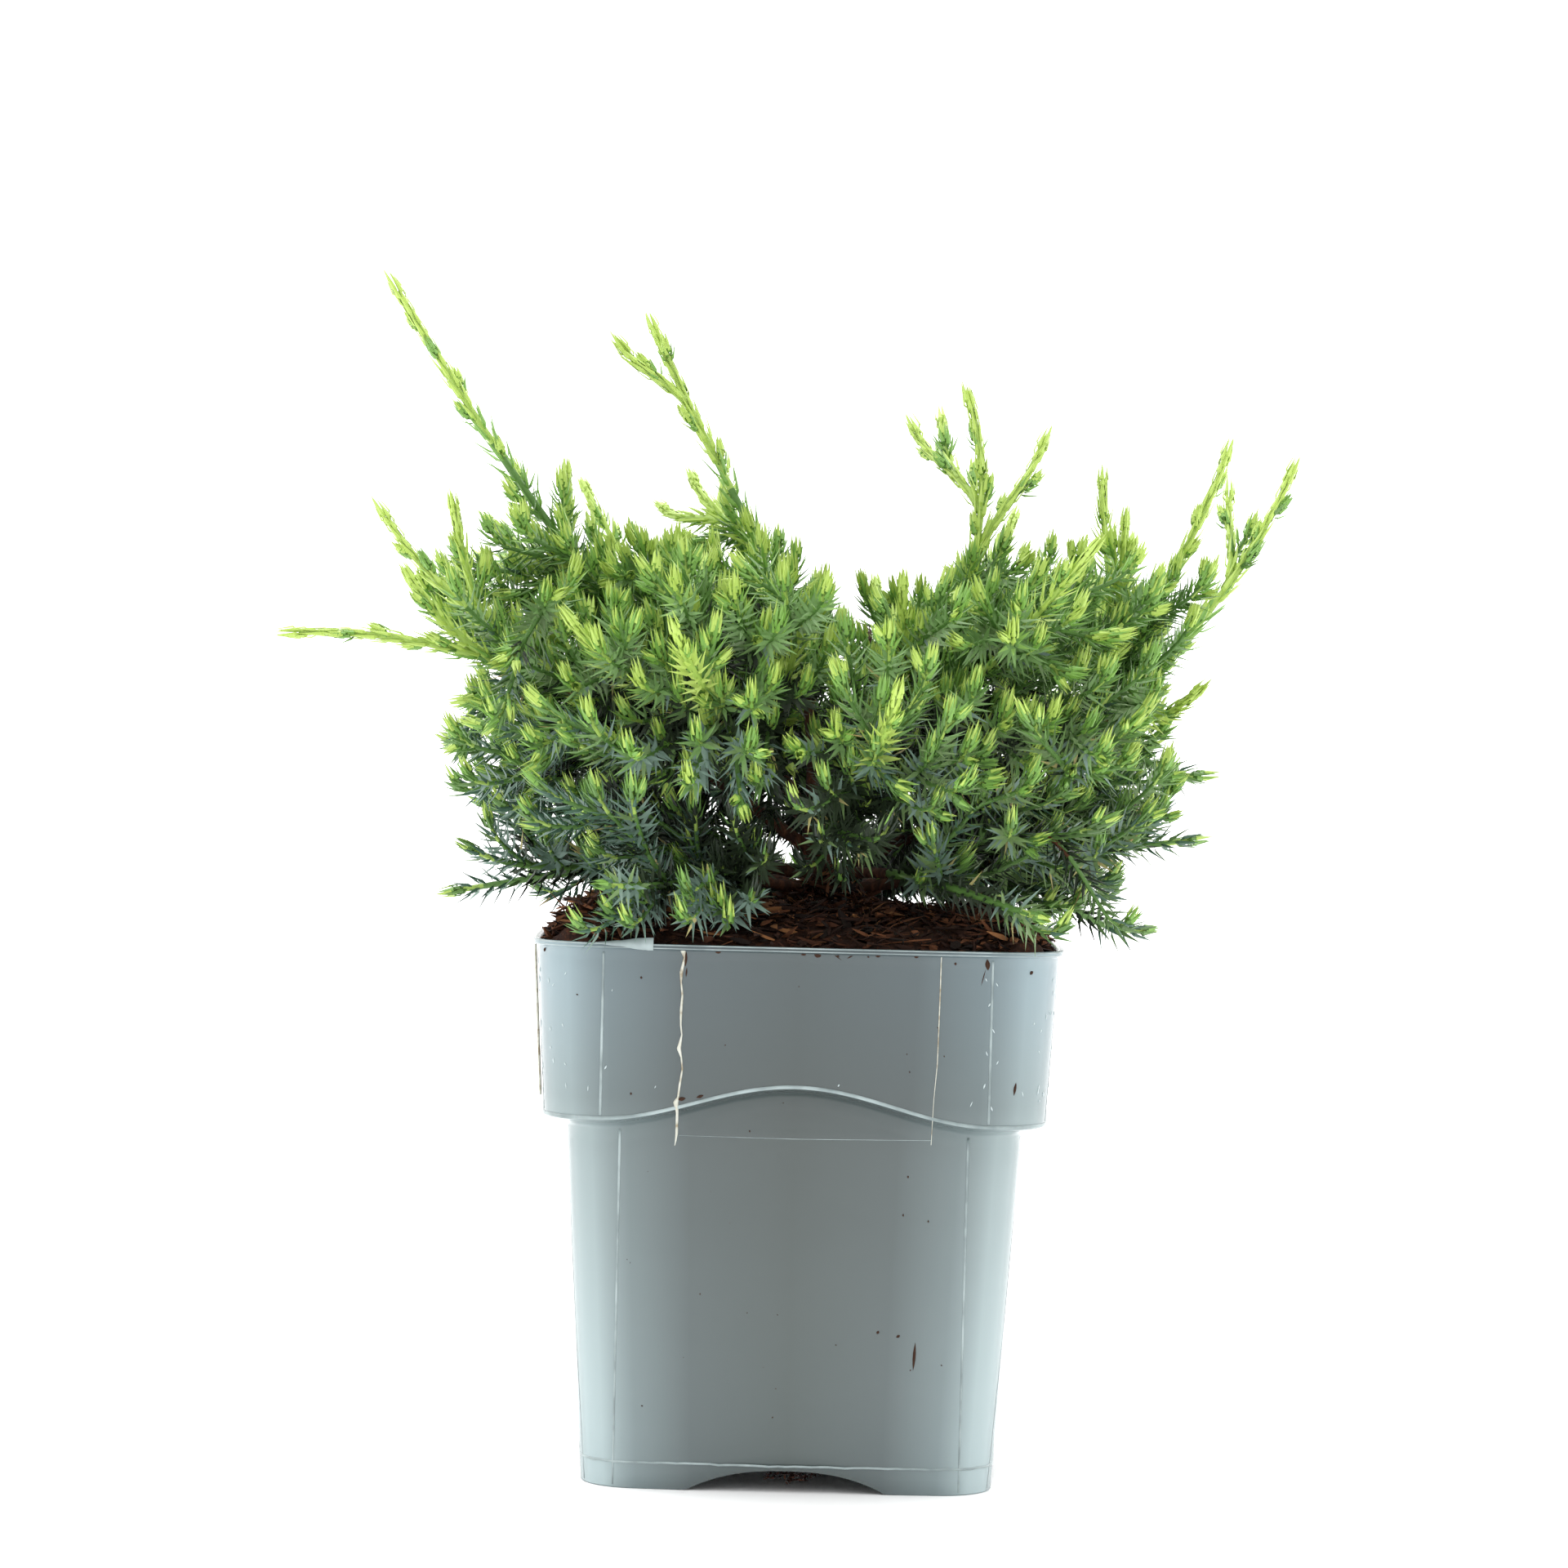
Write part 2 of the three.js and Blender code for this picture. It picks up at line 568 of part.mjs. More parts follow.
// A limb's twigs: its stem, then its leaders, then its short shoots from the nearest outward
function twigsOf(limb) {
  const stem = twigOn(limb.curve, limb.bare + GAP / limb.curve.getLength(), STEM_LOOK, limb);
  const twigs = [stem];
  const start = limb.curve.getPointAt(stem.from);
  const own = (tip) => spaceOf(tip) === limb;
  const byDistance = (a, b) => a.distanceTo(start) - b.distanceTo(start);
  const plans = [
    ...leaderTips.filter(own).map((tip) => ({ tip, look: LEADER_LOOK })),
    ...shortTips.filter(own).sort(byDistance).map((tip) => ({ tip, look: SHORT_LOOK })),
  ];
  for (const { tip, look } of plans) {
    const curve = shootTo(tip, twigs, look);
    const twig = curve && twigOn(curve, 0, look, limb);
    if (twig) twigs.push(twig);
  }
  return twigs;
}

// Where a twig's needles would point: the place at the root and at the tip of the one on a ring's side
function needleOf(twig, step, base, outward) {
  const { curve, look, steps } = twig;
  const share = ringShare(twig, step + 0.5);
  const spread = degrees(THREE.MathUtils.lerp(look.spread, look.tipSpread, (step + 1) / (steps - 1)));
  const root = base[0].clone().add(base[1]).add(base[2]).divideScalar(3);
  const tip = root
    .clone()
    .addScaledVector(outward, look.needle * Math.sin(spread))
    .addScaledVector(curve.getTangentAt(share), look.needle * Math.cos(spread));
  return { root, tip };
}

function ringShare({ from, to, steps }, step) {
  return from + ((to - from) * step) / steps;
}

// Whether a needle keeps to its limb's space and away from other twigs and their needles
function needleFits({ root, tip }, twig, limb, crowd) {
  if (!inSpace(tip, limb)) return false;
  const places = NEEDLE_TEST_SHARES.map((share) => root.clone().lerp(tip, share));
  return crowd.every(
    ({ owner, point }) => owner === twig || places.every((place) => place.distanceTo(point) > NEEDLE_ROOM),
  );
}

// A three-sided twig whose rings turn by 60 degrees each, with three needles on each step
function twigGeometry(twig, limb, crowd) {
  const { curve, to, steps, look } = twig;
  const frames = curve.computeFrenetFrames(FRAME_STEPS, false);
  const outward = (share, angle) => {
    const frame = Math.round(share * FRAME_STEPS);
    return new THREE.Vector3()
      .addScaledVector(frames.normals[frame], Math.cos(angle))
      .addScaledVector(frames.binormals[frame], Math.sin(angle));
  };
  const points = [];
  for (let step = 0; step < steps; step += 1) {
    const share = ringShare(twig, step);
    const radius = THREE.MathUtils.lerp(look.radius, look.tipRadius, step / steps);
    for (let side = 0; side < 3; side += 1) {
      const angle = (Math.PI / 3) * (step + 2 * side);
      points.push(curve.getPointAt(share).addScaledVector(outward(share, angle), radius));
    }
  }
  const apex = points.push(curve.getPointAt(to)) - 1;
  const at = (step, side) => 3 * step + (side % 3);
  const faces = [[at(0, 0), at(0, 2), at(0, 1)]];
  for (let side = 0; side < 3; side += 1) {
    faces.push([at(steps - 1, side), at(steps - 1, side + 1), apex]);
    for (let step = 0; step + 1 < steps; step += 1) {
      const [a, b, c] = [at(step, side), at(step, side + 1), at(step + 1, side)];
      faces.push([b, at(step + 1, side + 1), c]);
      const way = outward(ringShare(twig, step + 0.5), (Math.PI / 3) * (step + 1 + 2 * side));
      const needle = needleOf(twig, step, [points[a], points[b], points[c]], way);
      if (step > 0 && needleFits(needle, twig, limb, crowd)) {
        const point = points.push(needle.tip) - 1;
        faces.push([a, b, point], [b, c, point], [c, a, point]);
        for (const share of NEEDLE_TEST_SHARES) {
          crowd.push({ owner: twig, point: needle.root.clone().lerp(needle.tip, share) });
        }
      } else {
        faces.push([a, b, c]);
      }
    }
  }
  return geometryOf(points, faces);
}

// Points along a twig that needles of other twigs keep away from
function pointsAlong(twig) {
  const count = Math.ceil(twig.length / NEEDLE_ROOM);
  return Array.from({ length: count + 1 }, (_, step) => {
    const share = twig.from + ((twig.to - twig.from) * step) / count;
    return { owner: twig, point: twig.curve.getPointAt(share) };
  });
}

// Whether a twig keeps the gap to the trunk and to every bough
function clearOfLimbs(twig) {
  return limbSolids.every((limb) => twig.minGap(limb, 2 * GAP) > 0.9 * GAP);
}

function foliageGeometry(limb) {
  const twigs = twigsOf(limb);
  const crowd = twigs.flatMap(pointsAlong);
  const solids = twigs.map((twig) => solidOf(twigGeometry(twig, limb, crowd))).filter(clearOfLimbs);
  const joined = solids.reduce((whole, solid) => whole.add(solid));
  return geometryFrom(mainBody(joined.simplify(FINE_DETAIL)));
}

// The whole plant

const limbs = Object.entries(LIMBS).map(([name, sizes]) => {
  const curve = limbCurve(sizes);
  return { name, ...sizes, curve, heartPoint: curve.getPointAt(sizes.heart) };
});
const leaderTips = LEADER_TIPS.map((tip) => new THREE.Vector3(...tip));
const shortTips = crownTips();
const boughs = limbs.map((limb) => boughGeometry(limb));
const limbSolids = [solidOf(trunkGeometry(0)), ...boughs.map(solidOf)];

const plant = new THREE.Group();

function addPiece(name, geometry, material) {
  const mesh = new THREE.Mesh(geometry, material);
  mesh.name = name;
  plant.add(mesh);
}

addPiece('pot', potGeometry(), FINISH.pot);
addPiece('soil', soilGeometry(), FINISH.soil);
addPiece('trunk', trunkGeometry(0), FINISH.bark);
limbs.forEach((limb, index) => {
  addPiece(`bough_${limb.name}`, boughs[index], FINISH.bark);
  addPiece(`foliage_${limb.name}`, foliageGeometry(limb), FINISH.foliage);
});

export default plant;
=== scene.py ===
"""Potted flaky juniper: the looks of the pot, the peat, the limbs and the foliage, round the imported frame.

Lengths are in millimetres and turned into metres only where a mesh, a light or the camera is made.
+Z is up, the front is -Y, and the origin is on the floor under the middle of the pot.
"""

import math

import bpy
import numpy as np
from mathutils import Matrix, Vector, noise


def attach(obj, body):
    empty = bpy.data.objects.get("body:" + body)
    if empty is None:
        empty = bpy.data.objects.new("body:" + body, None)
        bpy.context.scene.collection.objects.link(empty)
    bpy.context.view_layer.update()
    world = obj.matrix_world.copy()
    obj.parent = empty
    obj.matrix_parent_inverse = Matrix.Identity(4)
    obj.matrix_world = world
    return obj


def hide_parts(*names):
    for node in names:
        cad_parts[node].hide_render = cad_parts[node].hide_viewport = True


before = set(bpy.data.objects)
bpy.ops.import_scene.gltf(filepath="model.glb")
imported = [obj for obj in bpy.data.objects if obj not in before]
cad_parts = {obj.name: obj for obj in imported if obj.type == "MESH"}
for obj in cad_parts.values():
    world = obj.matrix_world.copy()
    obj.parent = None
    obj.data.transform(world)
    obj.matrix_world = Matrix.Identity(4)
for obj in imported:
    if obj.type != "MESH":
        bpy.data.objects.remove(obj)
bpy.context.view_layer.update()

MM = 0.001
UP = np.array([0.0, 0.0, 1.0])
GOLDEN_TURN = math.radians(137.5)

# Seeds of the random marks on the pot, the peat, the crumbs in the arch, and the finer growth
MARKS_SEED = 58
PEAT_SEED = 31
ARCH_SEED = 12
GROWTH_SEED = 77

# Gap kept between two solids that meet
GAP = 0.3

# Pot: half widths are taken at the middle of a face
POT_HEIGHT = 172.5
LIP_HALF = 85
LIP_FOOT = POT_HEIGHT - 1.8
COLLAR_TOP_HALF = 83.8
COLLAR_FOOT_HALF = 81
WAIST_HALF = 73.6
FOOT_HALF = 66.9
COLLAR_CORNER = 23
BODY_CORNER = 18
FACE_BULGE = 1.6
WALL = 1.8
COLLAR_EDGE_LOW = 117
COLLAR_EDGE_HIGH = 128.3
COLLAR_WAVE_HALF = 62
SHOULDER_DROP = 3.4
FLOOR_UNDERSIDE = 7.6
FLOOR_TOP = 9.4
ARCH_TOP = 6.8
ARCH_HALF = 31.6
ARCH_SHAPE = 2.5
SLOT_SIZE = (26, 8, 10)
SLOT_OUT = 49
FACE_STEPS = 36
CORNER_STEPS = 12
FOOT_ROUNDING = 0.35
BODY_STEPS = 24
COLLAR_STEPS = 14

# Rolled lower edge of the collar: how far in and up from its widest place
ROLLED_EDGE = [(1.4, -0.75), (0.6, -0.45), (0.12, 0.15), (0, 1)]
# Lip: how far out of the collar and up from its own foot
LIP_PROFILE = [(0.25, -0.2), (0.75, 0), (1.1, 0.25), (1.2, 0.6), (1.2, 1.35), (1.0, 1.7), (0.65, 1.8)]

# Marks on the pot's faces: places are along a face and up, and the front is face 0
# Upright pale lines where a flat face meets a corner: mould lines with a painted highlight
MOULD_HIGHLIGHT_ON_COLLAR = 60.5
MOULD_HIGHLIGHT_ON_BODY = 54.5
SEAM_HEIGHT = 8.4

# Edges of the clear label on the front: places and widths, from the lip to below the collar
LABEL_LEFT = [
    (-35.8, 170.8, 1.8), (-35.3, 168.4, 0.6), (-36.2, 163.7, 1.1), (-36.2, 160.8, 0.5), (-35.7, 156.7, 0.6),
    (-36, 151.8, 0.8), (-36, 147.5, 0.5), (-35.6, 144.3, 0.4), (-36.4, 140, 1.3), (-35.6, 137.3, 0.5),
    (-35.2, 133.6, 0.5), (-35.9, 128.7, 0.7), (-36.3, 124.9, 0.6), (-37, 123.1, 1.6), (-36.5, 120.1, 0.8),
    (-36.5, 113.6, 0.8), (-36.7, 111.4, 0.5), (-37, 109.7, 0.2),
]
LABEL_RIGHT = [
    (44.4, 171.6, 0.3), (44.3, 158.7, 0.4), (44, 137.1, 0.3), (43.2, 126.3, 0.2), (42.7, 111.8, 0.2),
]
LABEL_FOOT = [(-35.9, 112.9, 0.12), (0, 112.7, 0.16), (42.9, 113.2, 0.12)]
LABEL_SIDE = [(50, 170, 0.5), (50.6, 158, 0.8), (49.6, 146, 0.5), (50.2, 134, 0.9), (49.8, 122, 0.4)]
# Torn flap of the label on the rim: from and to in x, its place in y, and its number of steps
FLAP = (-63, -45, -84.4, 24)

# Crumbs and splinters on the front: place, length, lean from upright in degrees, and width
CRUMBS = [
    (-79.4, 169.2, 1.4, 20, 1.0), (-50.1, 171.2, 3.6, 88, 0.9), (-48.6, 161.8, 0.9, 0, 0.7),
    (-24.8, 170.6, 2.4, 80, 1.4), (-19.9, 171, 1.0, 30, 0.8), (-6.5, 170.9, 1.0, 90, 0.6),
    (1.8, 170.6, 2.2, 65, 1.3), (5.9, 170.2, 2.4, 110, 1.6), (12, 169.8, 3.6, 125, 0.3),
    (16.1, 169.9, 2.2, 60, 0.4), (24.7, 170.5, 2.0, 85, 1.2), (36.6, 170.5, 1.8, 90, 1.1),
    (41.1, 171, 1.2, 90, 0.7), (65.7, 171.2, 2.2, 90, 0.8), (58.8, 168.4, 3.6, -6, 1.6),
    (57.6, 164.4, 5.2, 14, 0.3), (48.8, 168.5, 1.0, 0, 0.8), (72.7, 166, 1.4, 40, 1.2),
    (-51, 125.5, 0.9, 0, 0.7), (-35.2, 124.3, 2.6, 80, 1.3), (-29.5, 125.2, 2.4, 70, 1.0),
    (68.5, 129.6, 4.2, 8, 1.0), (39.4, 44.2, 9.0, 3, 1.0), (27.8, 51.6, 1.2, 30, 0.9),
    (34.2, 50.5, 1.4, 60, 0.9), (42.7, 87, 0.9, 0, 0.5), (34.8, 88.8, 1.0, 0, 0.5),
    (36, 100.9, 0.9, 0, 0.6), (-34.9, 168, 4.8, 2, 1.0), (-34.6, 163.8, 3, 4, 0.5),
]
DRIED_DROPS = [
    (-72.4, 162.3), (-76.4, 158.4), (-72, 133.9), (-64.5, 126.7), (-71.6, 127.1), (-59.1, 133.5),
    (-73, 146), (-57.6, 157.6), (-43.5, 127.8), (61.9, 162.3), (58.5, 163.7), (59.7, 155.9),
    (61.2, 147.8), (59.3, 140.7), (62.7, 137.9), (58.8, 130.5), (61.3, 123.5), (54.9, 124.8),
    (13.5, 129.7), (74, 150), (76, 141), (71, 128),
]
# Crumbs strewn on all faces, and the share of them that lie in a strip under the lip
STREWN_CRUMBS = 150
CRUMBS_IN_STRIP = 0.3
STRIP_HEIGHT = 170.4

# Soil
SOIL_EDGE = 170.6
SOIL_TOP = 181
SOIL_HEAP_POWER = 6
SOIL_RELIEF = 1.3
SOIL_LEVEL_RADIUS = 15
SOIL_SLACK = 0.4

# Loose peat: how many shreds lie evenly, and the heaps, each with its middle, spread, height and count
LOOSE_SHREDS = 3000
PEAT_HEAPS = [
    ((8, -8), (11, 13), 12, 1100),
    ((8, -38), (24, 16), 5, 600),
    ((-70, -66), (9, 10), 9, 420),
    ((72, -62), (11, 12), 8, 420),
    ((-68, 66), (11, 12), 7, 300),
    ((68, 66), (11, 12), 7, 300),
]
HEAP_INSET = 60
# Colours of the shreds and the share of each
SHREDS = {
    (72, 42, 26): 0.3, (100, 62, 38): 0.17, (46, 27, 18): 0.27, (138, 94, 58): 0.05, (28, 18, 13): 0.21,
}
# Their lengths and widths: shape and scale of the random spread, and what they are at least
SHRED_LENGTHS = (3.2, 1.7)
SHRED_WIDTHS = (2.4, 0.4)
LEAST_SHRED = (1.5, 0.2)
STRAND_SIDES = 3
STRAND_STEPS = 3
# Crumbs in the arch of the pot's foot at the front: place and size, and the shreds of each
ARCH_SHREDS = 12
ARCH_CRUMBS = [
    (-5, 4.6, 2.4), (-2.6, 5.2, 3.2), (0.4, 4.4, 3.4), (3, 5.4, 2.6), (5.4, 4.2, 3), (8.4, 5.4, 2.2),
    (16, 6, 1),
]

# Trunk, from the flat cut at soil level to the fork
TRUNK_FOOT = np.array([8, 0, SOIL_TOP + GAP])
TRUNK_FORK = np.array([3, 3, 214])
TRUNK_RADIUS = 5.6
TRUNK_FORK_RADIUS = 3.8
TRUNK_CROWNING = 1.2
TRUNK_SIDES = 40
TRUNK_STEPS = 46
FLARE = 3.4
FLARE_HEIGHT = 7
FLARE_LOBES = 4
TRUNK_BARK_DEPTH = 0.45
BOUGH_BARK_DEPTH = 0.22

# Limbs
BOUGH_RADII = (2.3, 1.6)
BOUGH_SIDES = 16
BOUGH_STEPS = 44
LIMB_FIRST_HANDLE = 0.38
LIMB_LAST_HANDLE = 0.34

# Crown
CROWN_MIDDLE = np.array([3, 0, 238])
CROWN_HALF_X = 119
CROWN_HALF_Y = 106
CROWN_RISE = 67
CROWN_DROP = 50
CROWN_FULLNESS = 2.6
CROWN_DIP = 20
CROWN_DIP_PLACE = (22, 0)
CROWN_DIP_RADIUS = 28
CROWN_SHELL = 0.32
SHOOT_SPACING = 22
SHOOT_TRIES = 6000
SHOOT_SEED = 1709
SHOOT_BRANCH_LEAN = 0.6
SHOOT_HANDLE = 0.35
ROOT_STEP = 4
SOIL_CLEARANCE = 2
TIP_CLEARANCE = 4
RIM_REACH = 6
HANG_DEPTH = 12

# Distance between the rings of a twig
TWIG_STEP = 5

# Ages in millimetres from the tip past which twigs are green and brown: on tall leaders, and on the rest
GREEN_LEADER_AGE = 60
GREEN_AGE = 8
BROWN_LEADER_AGE = 115
BROWN_AGE = 34

# Side twigs of the stems and leaders: distance of the first from the tip, and the stretch from the tip
# that has only buds, in millimetres and as a share of the twig; then the buds' and the sprigs' sizes, the
# distances between them and how many degrees they lean from their parent
FIRST_SIDE = (14, 20)
BARE_LENGTH = 80
BARE_SHARE = 0.68
BUD_SIZES = (5, 10)
BUD_GAPS = (9, 16)
BUD_LEAN = 20
SPRIG_SIZES = (12, 30)
SPRIG_GROWTH = 0.4
SPRIG_VARIES = (0.8, 1.1)
SPRIG_GAPS = (6, 11)
SPRIG_LEAN = 38

# Buds near the tips of shoots and sprigs, and the least length of a twig that has any
TIP_BUD_FIRST = (4, 8)
TIP_BUD_SIZES = (3, 5.5)
TIP_BUD_GROWTH = 0.16
TIP_BUD_LEANS = (32, 50)
TIP_BUD_GAPS = (2, 6)
SHORTEST_PARENT = 12

# Finer twigs, beyond those of the solids
SPRIG_SPACING = 12.8
SPRIG_TRIES = 14000
SPRIG_SEED = 4031
SPRIG_SHELL = 0.72

# Needles: shares of them that are dead or straw-tipped, the share of the length at which they are widest,
# their width, the random turn of each round its twig, and how far into the twig they are rooted
DEAD_BUDS = 0.003
STRAW_TIPS = 0.012
WIDEST_AT = 0.24
NEEDLE_WIDTHS = (1.6, 1.55)
NEEDLE_TURN = 0.16
ROOTED_AT = 0.55

# How needles vary in spread, length and width, each a range of shares, and the least spread in degrees
SPREAD_VARIES = (0.84, 1.16)
LENGTH_VARIES = (0.84, 1.08)
WIDTH_VARIES = (0.88, 1.1)
LEAST_SPREAD = 4
# How far a needle bends in, as a share of its length, at the tip and on old wood, and its keel's depth
BENDS = (0.12, 0.05)
KEEL = 0.66
# Ages up to which needles are lime, fresh and leaf: on low sprays, on high ones, and on tall leaders
LOW_AGES = np.array([1, 2.2, 4.8])
HIGH_AGES = np.array([3.6, 10, 24])
LEADER_AGES = (54, 90, 106)

# Hollow over the soil at the front that lies in shade: middle and half sizes
HOLLOW_MIDDLE = (4, -46, 204)
HOLLOW_HALVES = (36, 70, 24)
# Half sizes of the crown for telling what lies deep inside it
INSIDE_HALVES = (CROWN_HALF_X, CROWN_HALF_Y, 75)

# Heights of spray tips between which the foliage goes from blue-green to yellow-green
LOW = 215
HIGH = 295

# Valley in the crown's top, right through from front to back: place in x, half width, depth and brim
VALLEY_PLACE = 21
VALLEY_HALF = 19
VALLEY_DEPTH = 36
VALLEY_BRIM = 308

# Where the finer twigs crowd: middle, half sizes and number of tips
CROWDS = [
    ((-100, 0, 288), (32, 50, 20), 24),
    ((-46, 10, 292), (32, 54, 14), 22),
    ((90, 6, 290), (44, 60, 24), 50),
    ((-38, -86, 187), (30, 10, 8), 8),
    ((0, 84, 186), (80, 18, 9), 36),
    ((84, 10, 206), (30, 60, 22), 44),
]

# Tips of single low sprigs, out to the rim
LOW_TIPS = [
    (-68, -90, 179), (-53, -92, 181), (-36, -92, 183), (-28, -80, 192), (-14, -84, 190), (81, -91, 182),
    (104, -62, 183), (-40, 92, 184), (20, 94, 186), (70, 90, 184), (-90, 62, 186), (106, 40, 190),
]

# Main limbs: where each springs from the trunk (share of its height), the way it sets out and ends
# (degrees round from +X and up from level), its tip, the share of it that is bare bough, and the share
# at the heart of its foliage
LIMBS = {
    "top_left": (0.83, (172, 42), (178, 58), (-138, 15, 382), 0.25, 0.44),
    "top_centre": (1, (70, 80), (170, 66), (-53, 25, 372), 0.22, 0.54),
    "top_right": (0.83, (4, 46), (160, 72), (52, 0, 348), 0.28, 0.56),
    "far_left": (0.5, (200, 36), (192, -4), (-162, -42, 267), 0.26, 0.56),
    "far_right": (0.31, (10, 24), (20, 66), (161, 35, 329), 0.43, 0.6),
    "front_left": (0.69, (240, 48), (255, 38), (-40, -118, 270), 0.26, 0.62),
    "front_right": (0.69, (322, 42), (325, 48), (88, -78, 298), 0.26, 0.6),
    "front": (0.5, (278, 28), (280, 42), (28, -122, 252), 0.28, 0.62),
    "back_left": (0.67, (130, 44), (128, 50), (-78, 98, 322), 0.24, 0.52),
    "back_right": (0.69, (50, 44), (60, 52), (72, 110, 316), 0.26, 0.54),
    "back": (0.5, (98, 30), (95, 44), (-2, 122, 268), 0.28, 0.62),
    "low_left": (0.31, (180, 12), (180, -10), (-114, 10, 184), 0.34, 0.68),
    "low_front_left": (0.12, (230, 14), (240, 4), (-60, -104, 191), 0.32, 0.68),
    "low_front_right": (0.31, (304, 10), (305, -8), (74, -96, 184), 0.32, 0.68),
    "low_right": (0.12, (350, 14), (0, 8), (128, -6, 207), 0.38, 0.7),
    "low_back_right": (0.12, (50, 12), (48, 2), (76, 96, 192), 0.32, 0.68),
    "low_back_left": (0.12, (130, 14), (130, 2), (-70, 98, 190), 0.32, 0.68),
}

# Tips of the other leaders that stand out of the crown
LEADER_TIPS = np.array(
    [
        (-138, -8, 306), (-115, -20, 309), (-107, 36, 307), (-89, 0, 303), (-127, -34, 285), (-81, 20, 323),
        (-62, 14, 364), (-39, 45, 323), (-49, 52, 314), (-73, -80, 272), (-1, -66, 279),
        (35, 20, 340), (44, 45, 345), (76, 10, 335), (98, 30, 325), (103, -10, 310), (137, 12, 333),
        (142, 48, 322), (30, -70, 286), (126, -28, 255), (132, 14, 228), (115, 22, 176),
        (-108, -14, 199), (-116, 4, 234), (24, 84, 290), (-30, 96, 330), (112, 78, 306), (-112, 66, 296),
    ],
    float,
)

# Camera: it stands in front of the plant, a little above its middle, and looks slightly down
CAMERA_PLACE = (0, -1485, 240)
CAMERA_AIM = (-6.1, 0, 222)
CAMERA_ROLL = 1.4
CAMERA_LENS = 103.8
CAMERA_SENSOR = 36

# Studio
WORLD_FRONT = 0.75
WORLD_BACK = 2.3
SUN_FROM = (-0.25, 0.35, 1)
SUN_POWER = 1.2
SUN_SPREAD = 60
FLOOR_REACH = 4000

# Each tint of needle, as a screen shows it: its upper side and its lower side
TINTS = {
    "lime": ((188, 208, 112), (172, 199, 92)),
    "fresh": ((138, 176, 92), (118, 162, 72)),
    "leaf": ((114, 150, 88), (90, 128, 60)),
    "deep": ((116, 143, 92), (82, 112, 62)),
    "blue": ((118, 142, 130), (70, 100, 82)),
    "shade": ((48, 62, 42), (30, 42, 27)),
    "straw": ((178, 168, 112), (150, 134, 84)),
    "brown": ((96, 66, 46), (78, 52, 34)),
}
LIME, FRESH, LEAF, DEEP, BLUE, SHADE, STRAW, BROWN = range(len(TINTS))

# Plastic from the middle of a face to a corner, paler towards the corner as painted light: the back light
# that shines through and reflects off the corners
POT_PAINTED_CORNER_LIGHT = [(0, (84, 93, 92)), (0.45, (93, 103, 104)), (0.72, (122, 136, 138)), (0.92, (163, 179, 181))]
# Shares of light that the plastic keeps: painted shade by the share of the pot's height, full near the
# floor, darker up the body, darkest about the collar's lower edge and a little bluer near the lip as painted
# light; and faint random clouds
POT_PAINTED_SHADE = [
    (0.1, (1, 1, 1, 1)),
    (0.5, (0.76, 0.76, 0.755, 1)),
    (0.66, (0.72, 0.72, 0.715, 1)),
    (0.72, (0.6, 0.61, 0.61, 1)),
    (0.94, (0.64, 0.68, 0.72, 1)),
]
POT_CLOUDS = [(0.3, (0.93, 0.94, 0.94, 1)), (0.7, (1, 1, 1, 1))]


# Materials


def linear(red, green, blue):
    """Scene colour from the 0 to 255 values that a screen shows."""
    shown = np.array([red, green, blue]) / 255
    return (*np.where(shown <= 0.04045, shown / 12.92, ((shown + 0.055) / 1.055) ** 2.4), 1.0)


def plain(name, colour, roughness, specular=0.5):
    """A material of one plain colour."""
    material = bpy.data.materials.new(name)
    material.use_nodes = True
    shader = material.node_tree.nodes["Principled BSDF"]
    shader.inputs["Base Color"].default_value = linear(*colour)
    shader.inputs["Roughness"].default_value = roughness
    shader.inputs["Specular IOR Level"].default_value = specular
    return material


def node(tree, kind, **values):
    """A shader node with its settings and the plain values of its sockets."""
    made = tree.nodes.new(kind)
    for key, value in values.items():
        if key in made.inputs:
            made.inputs[key].default_value = value
        else:
            setattr(made, key, value)
    return made


def maths(tree, operation, *values):
    """One sum on sockets and plain numbers."""
    made = node(tree, "ShaderNodeMath", operation=operation)
    for socket, value in zip(made.inputs, values):
        if isinstance(value, float):
            socket.default_value = value
        else:
            tree.links.new(value, socket)
    return made.outputs[0]


def linear_stops(stops):
    """Stops of a ramp, from the colours that a screen shows."""
    return [(place, linear(*colour)) for place, colour in stops]


def colour_steps(tree, factor, stops):
    """A colour ramp on a factor, from pairs of place and colour."""
    ramp = tree.nodes.new("ShaderNodeValToRGB")
    while len(ramp.color_ramp.elements) < len(stops):
        ramp.color_ramp.elements.new(0.5)
    for element, (place, colour) in zip(ramp.color_ramp.elements, stops):
        element.position = place
        element.color = colour
    tree.links.new(factor, ramp.inputs["Fac"])
    return ramp.outputs["Color"]


def object_places(tree, stretch=(1, 1, 1)):
    """Places on the piece, in metres, stretched along each axis."""
    places = tree.nodes.new("ShaderNodeTexCoord")
    mapping = node(tree, "ShaderNodeMapping", Scale=stretch)
    tree.links.new(places.outputs["Object"], mapping.inputs["Vector"])
    return mapping.outputs["Vector"]


def noise_factor(tree, vector, scale, detail, roughness=0.55):
    made = node(tree, "ShaderNodeTexNoise", Scale=scale, Detail=detail, Roughness=roughness)
    tree.links.new(vector, made.inputs["Vector"])
    return made.outputs["Fac"]


def add_bump(material, height, strength, distance):
    tree = material.node_tree
    bump = node(tree, "ShaderNodeBump", Strength=strength, Distance=distance)
    tree.links.new(height, bump.inputs["Height"])
    tree.links.new(bump.outputs["Normal"], tree.nodes["Principled BSDF"].inputs["Normal"])


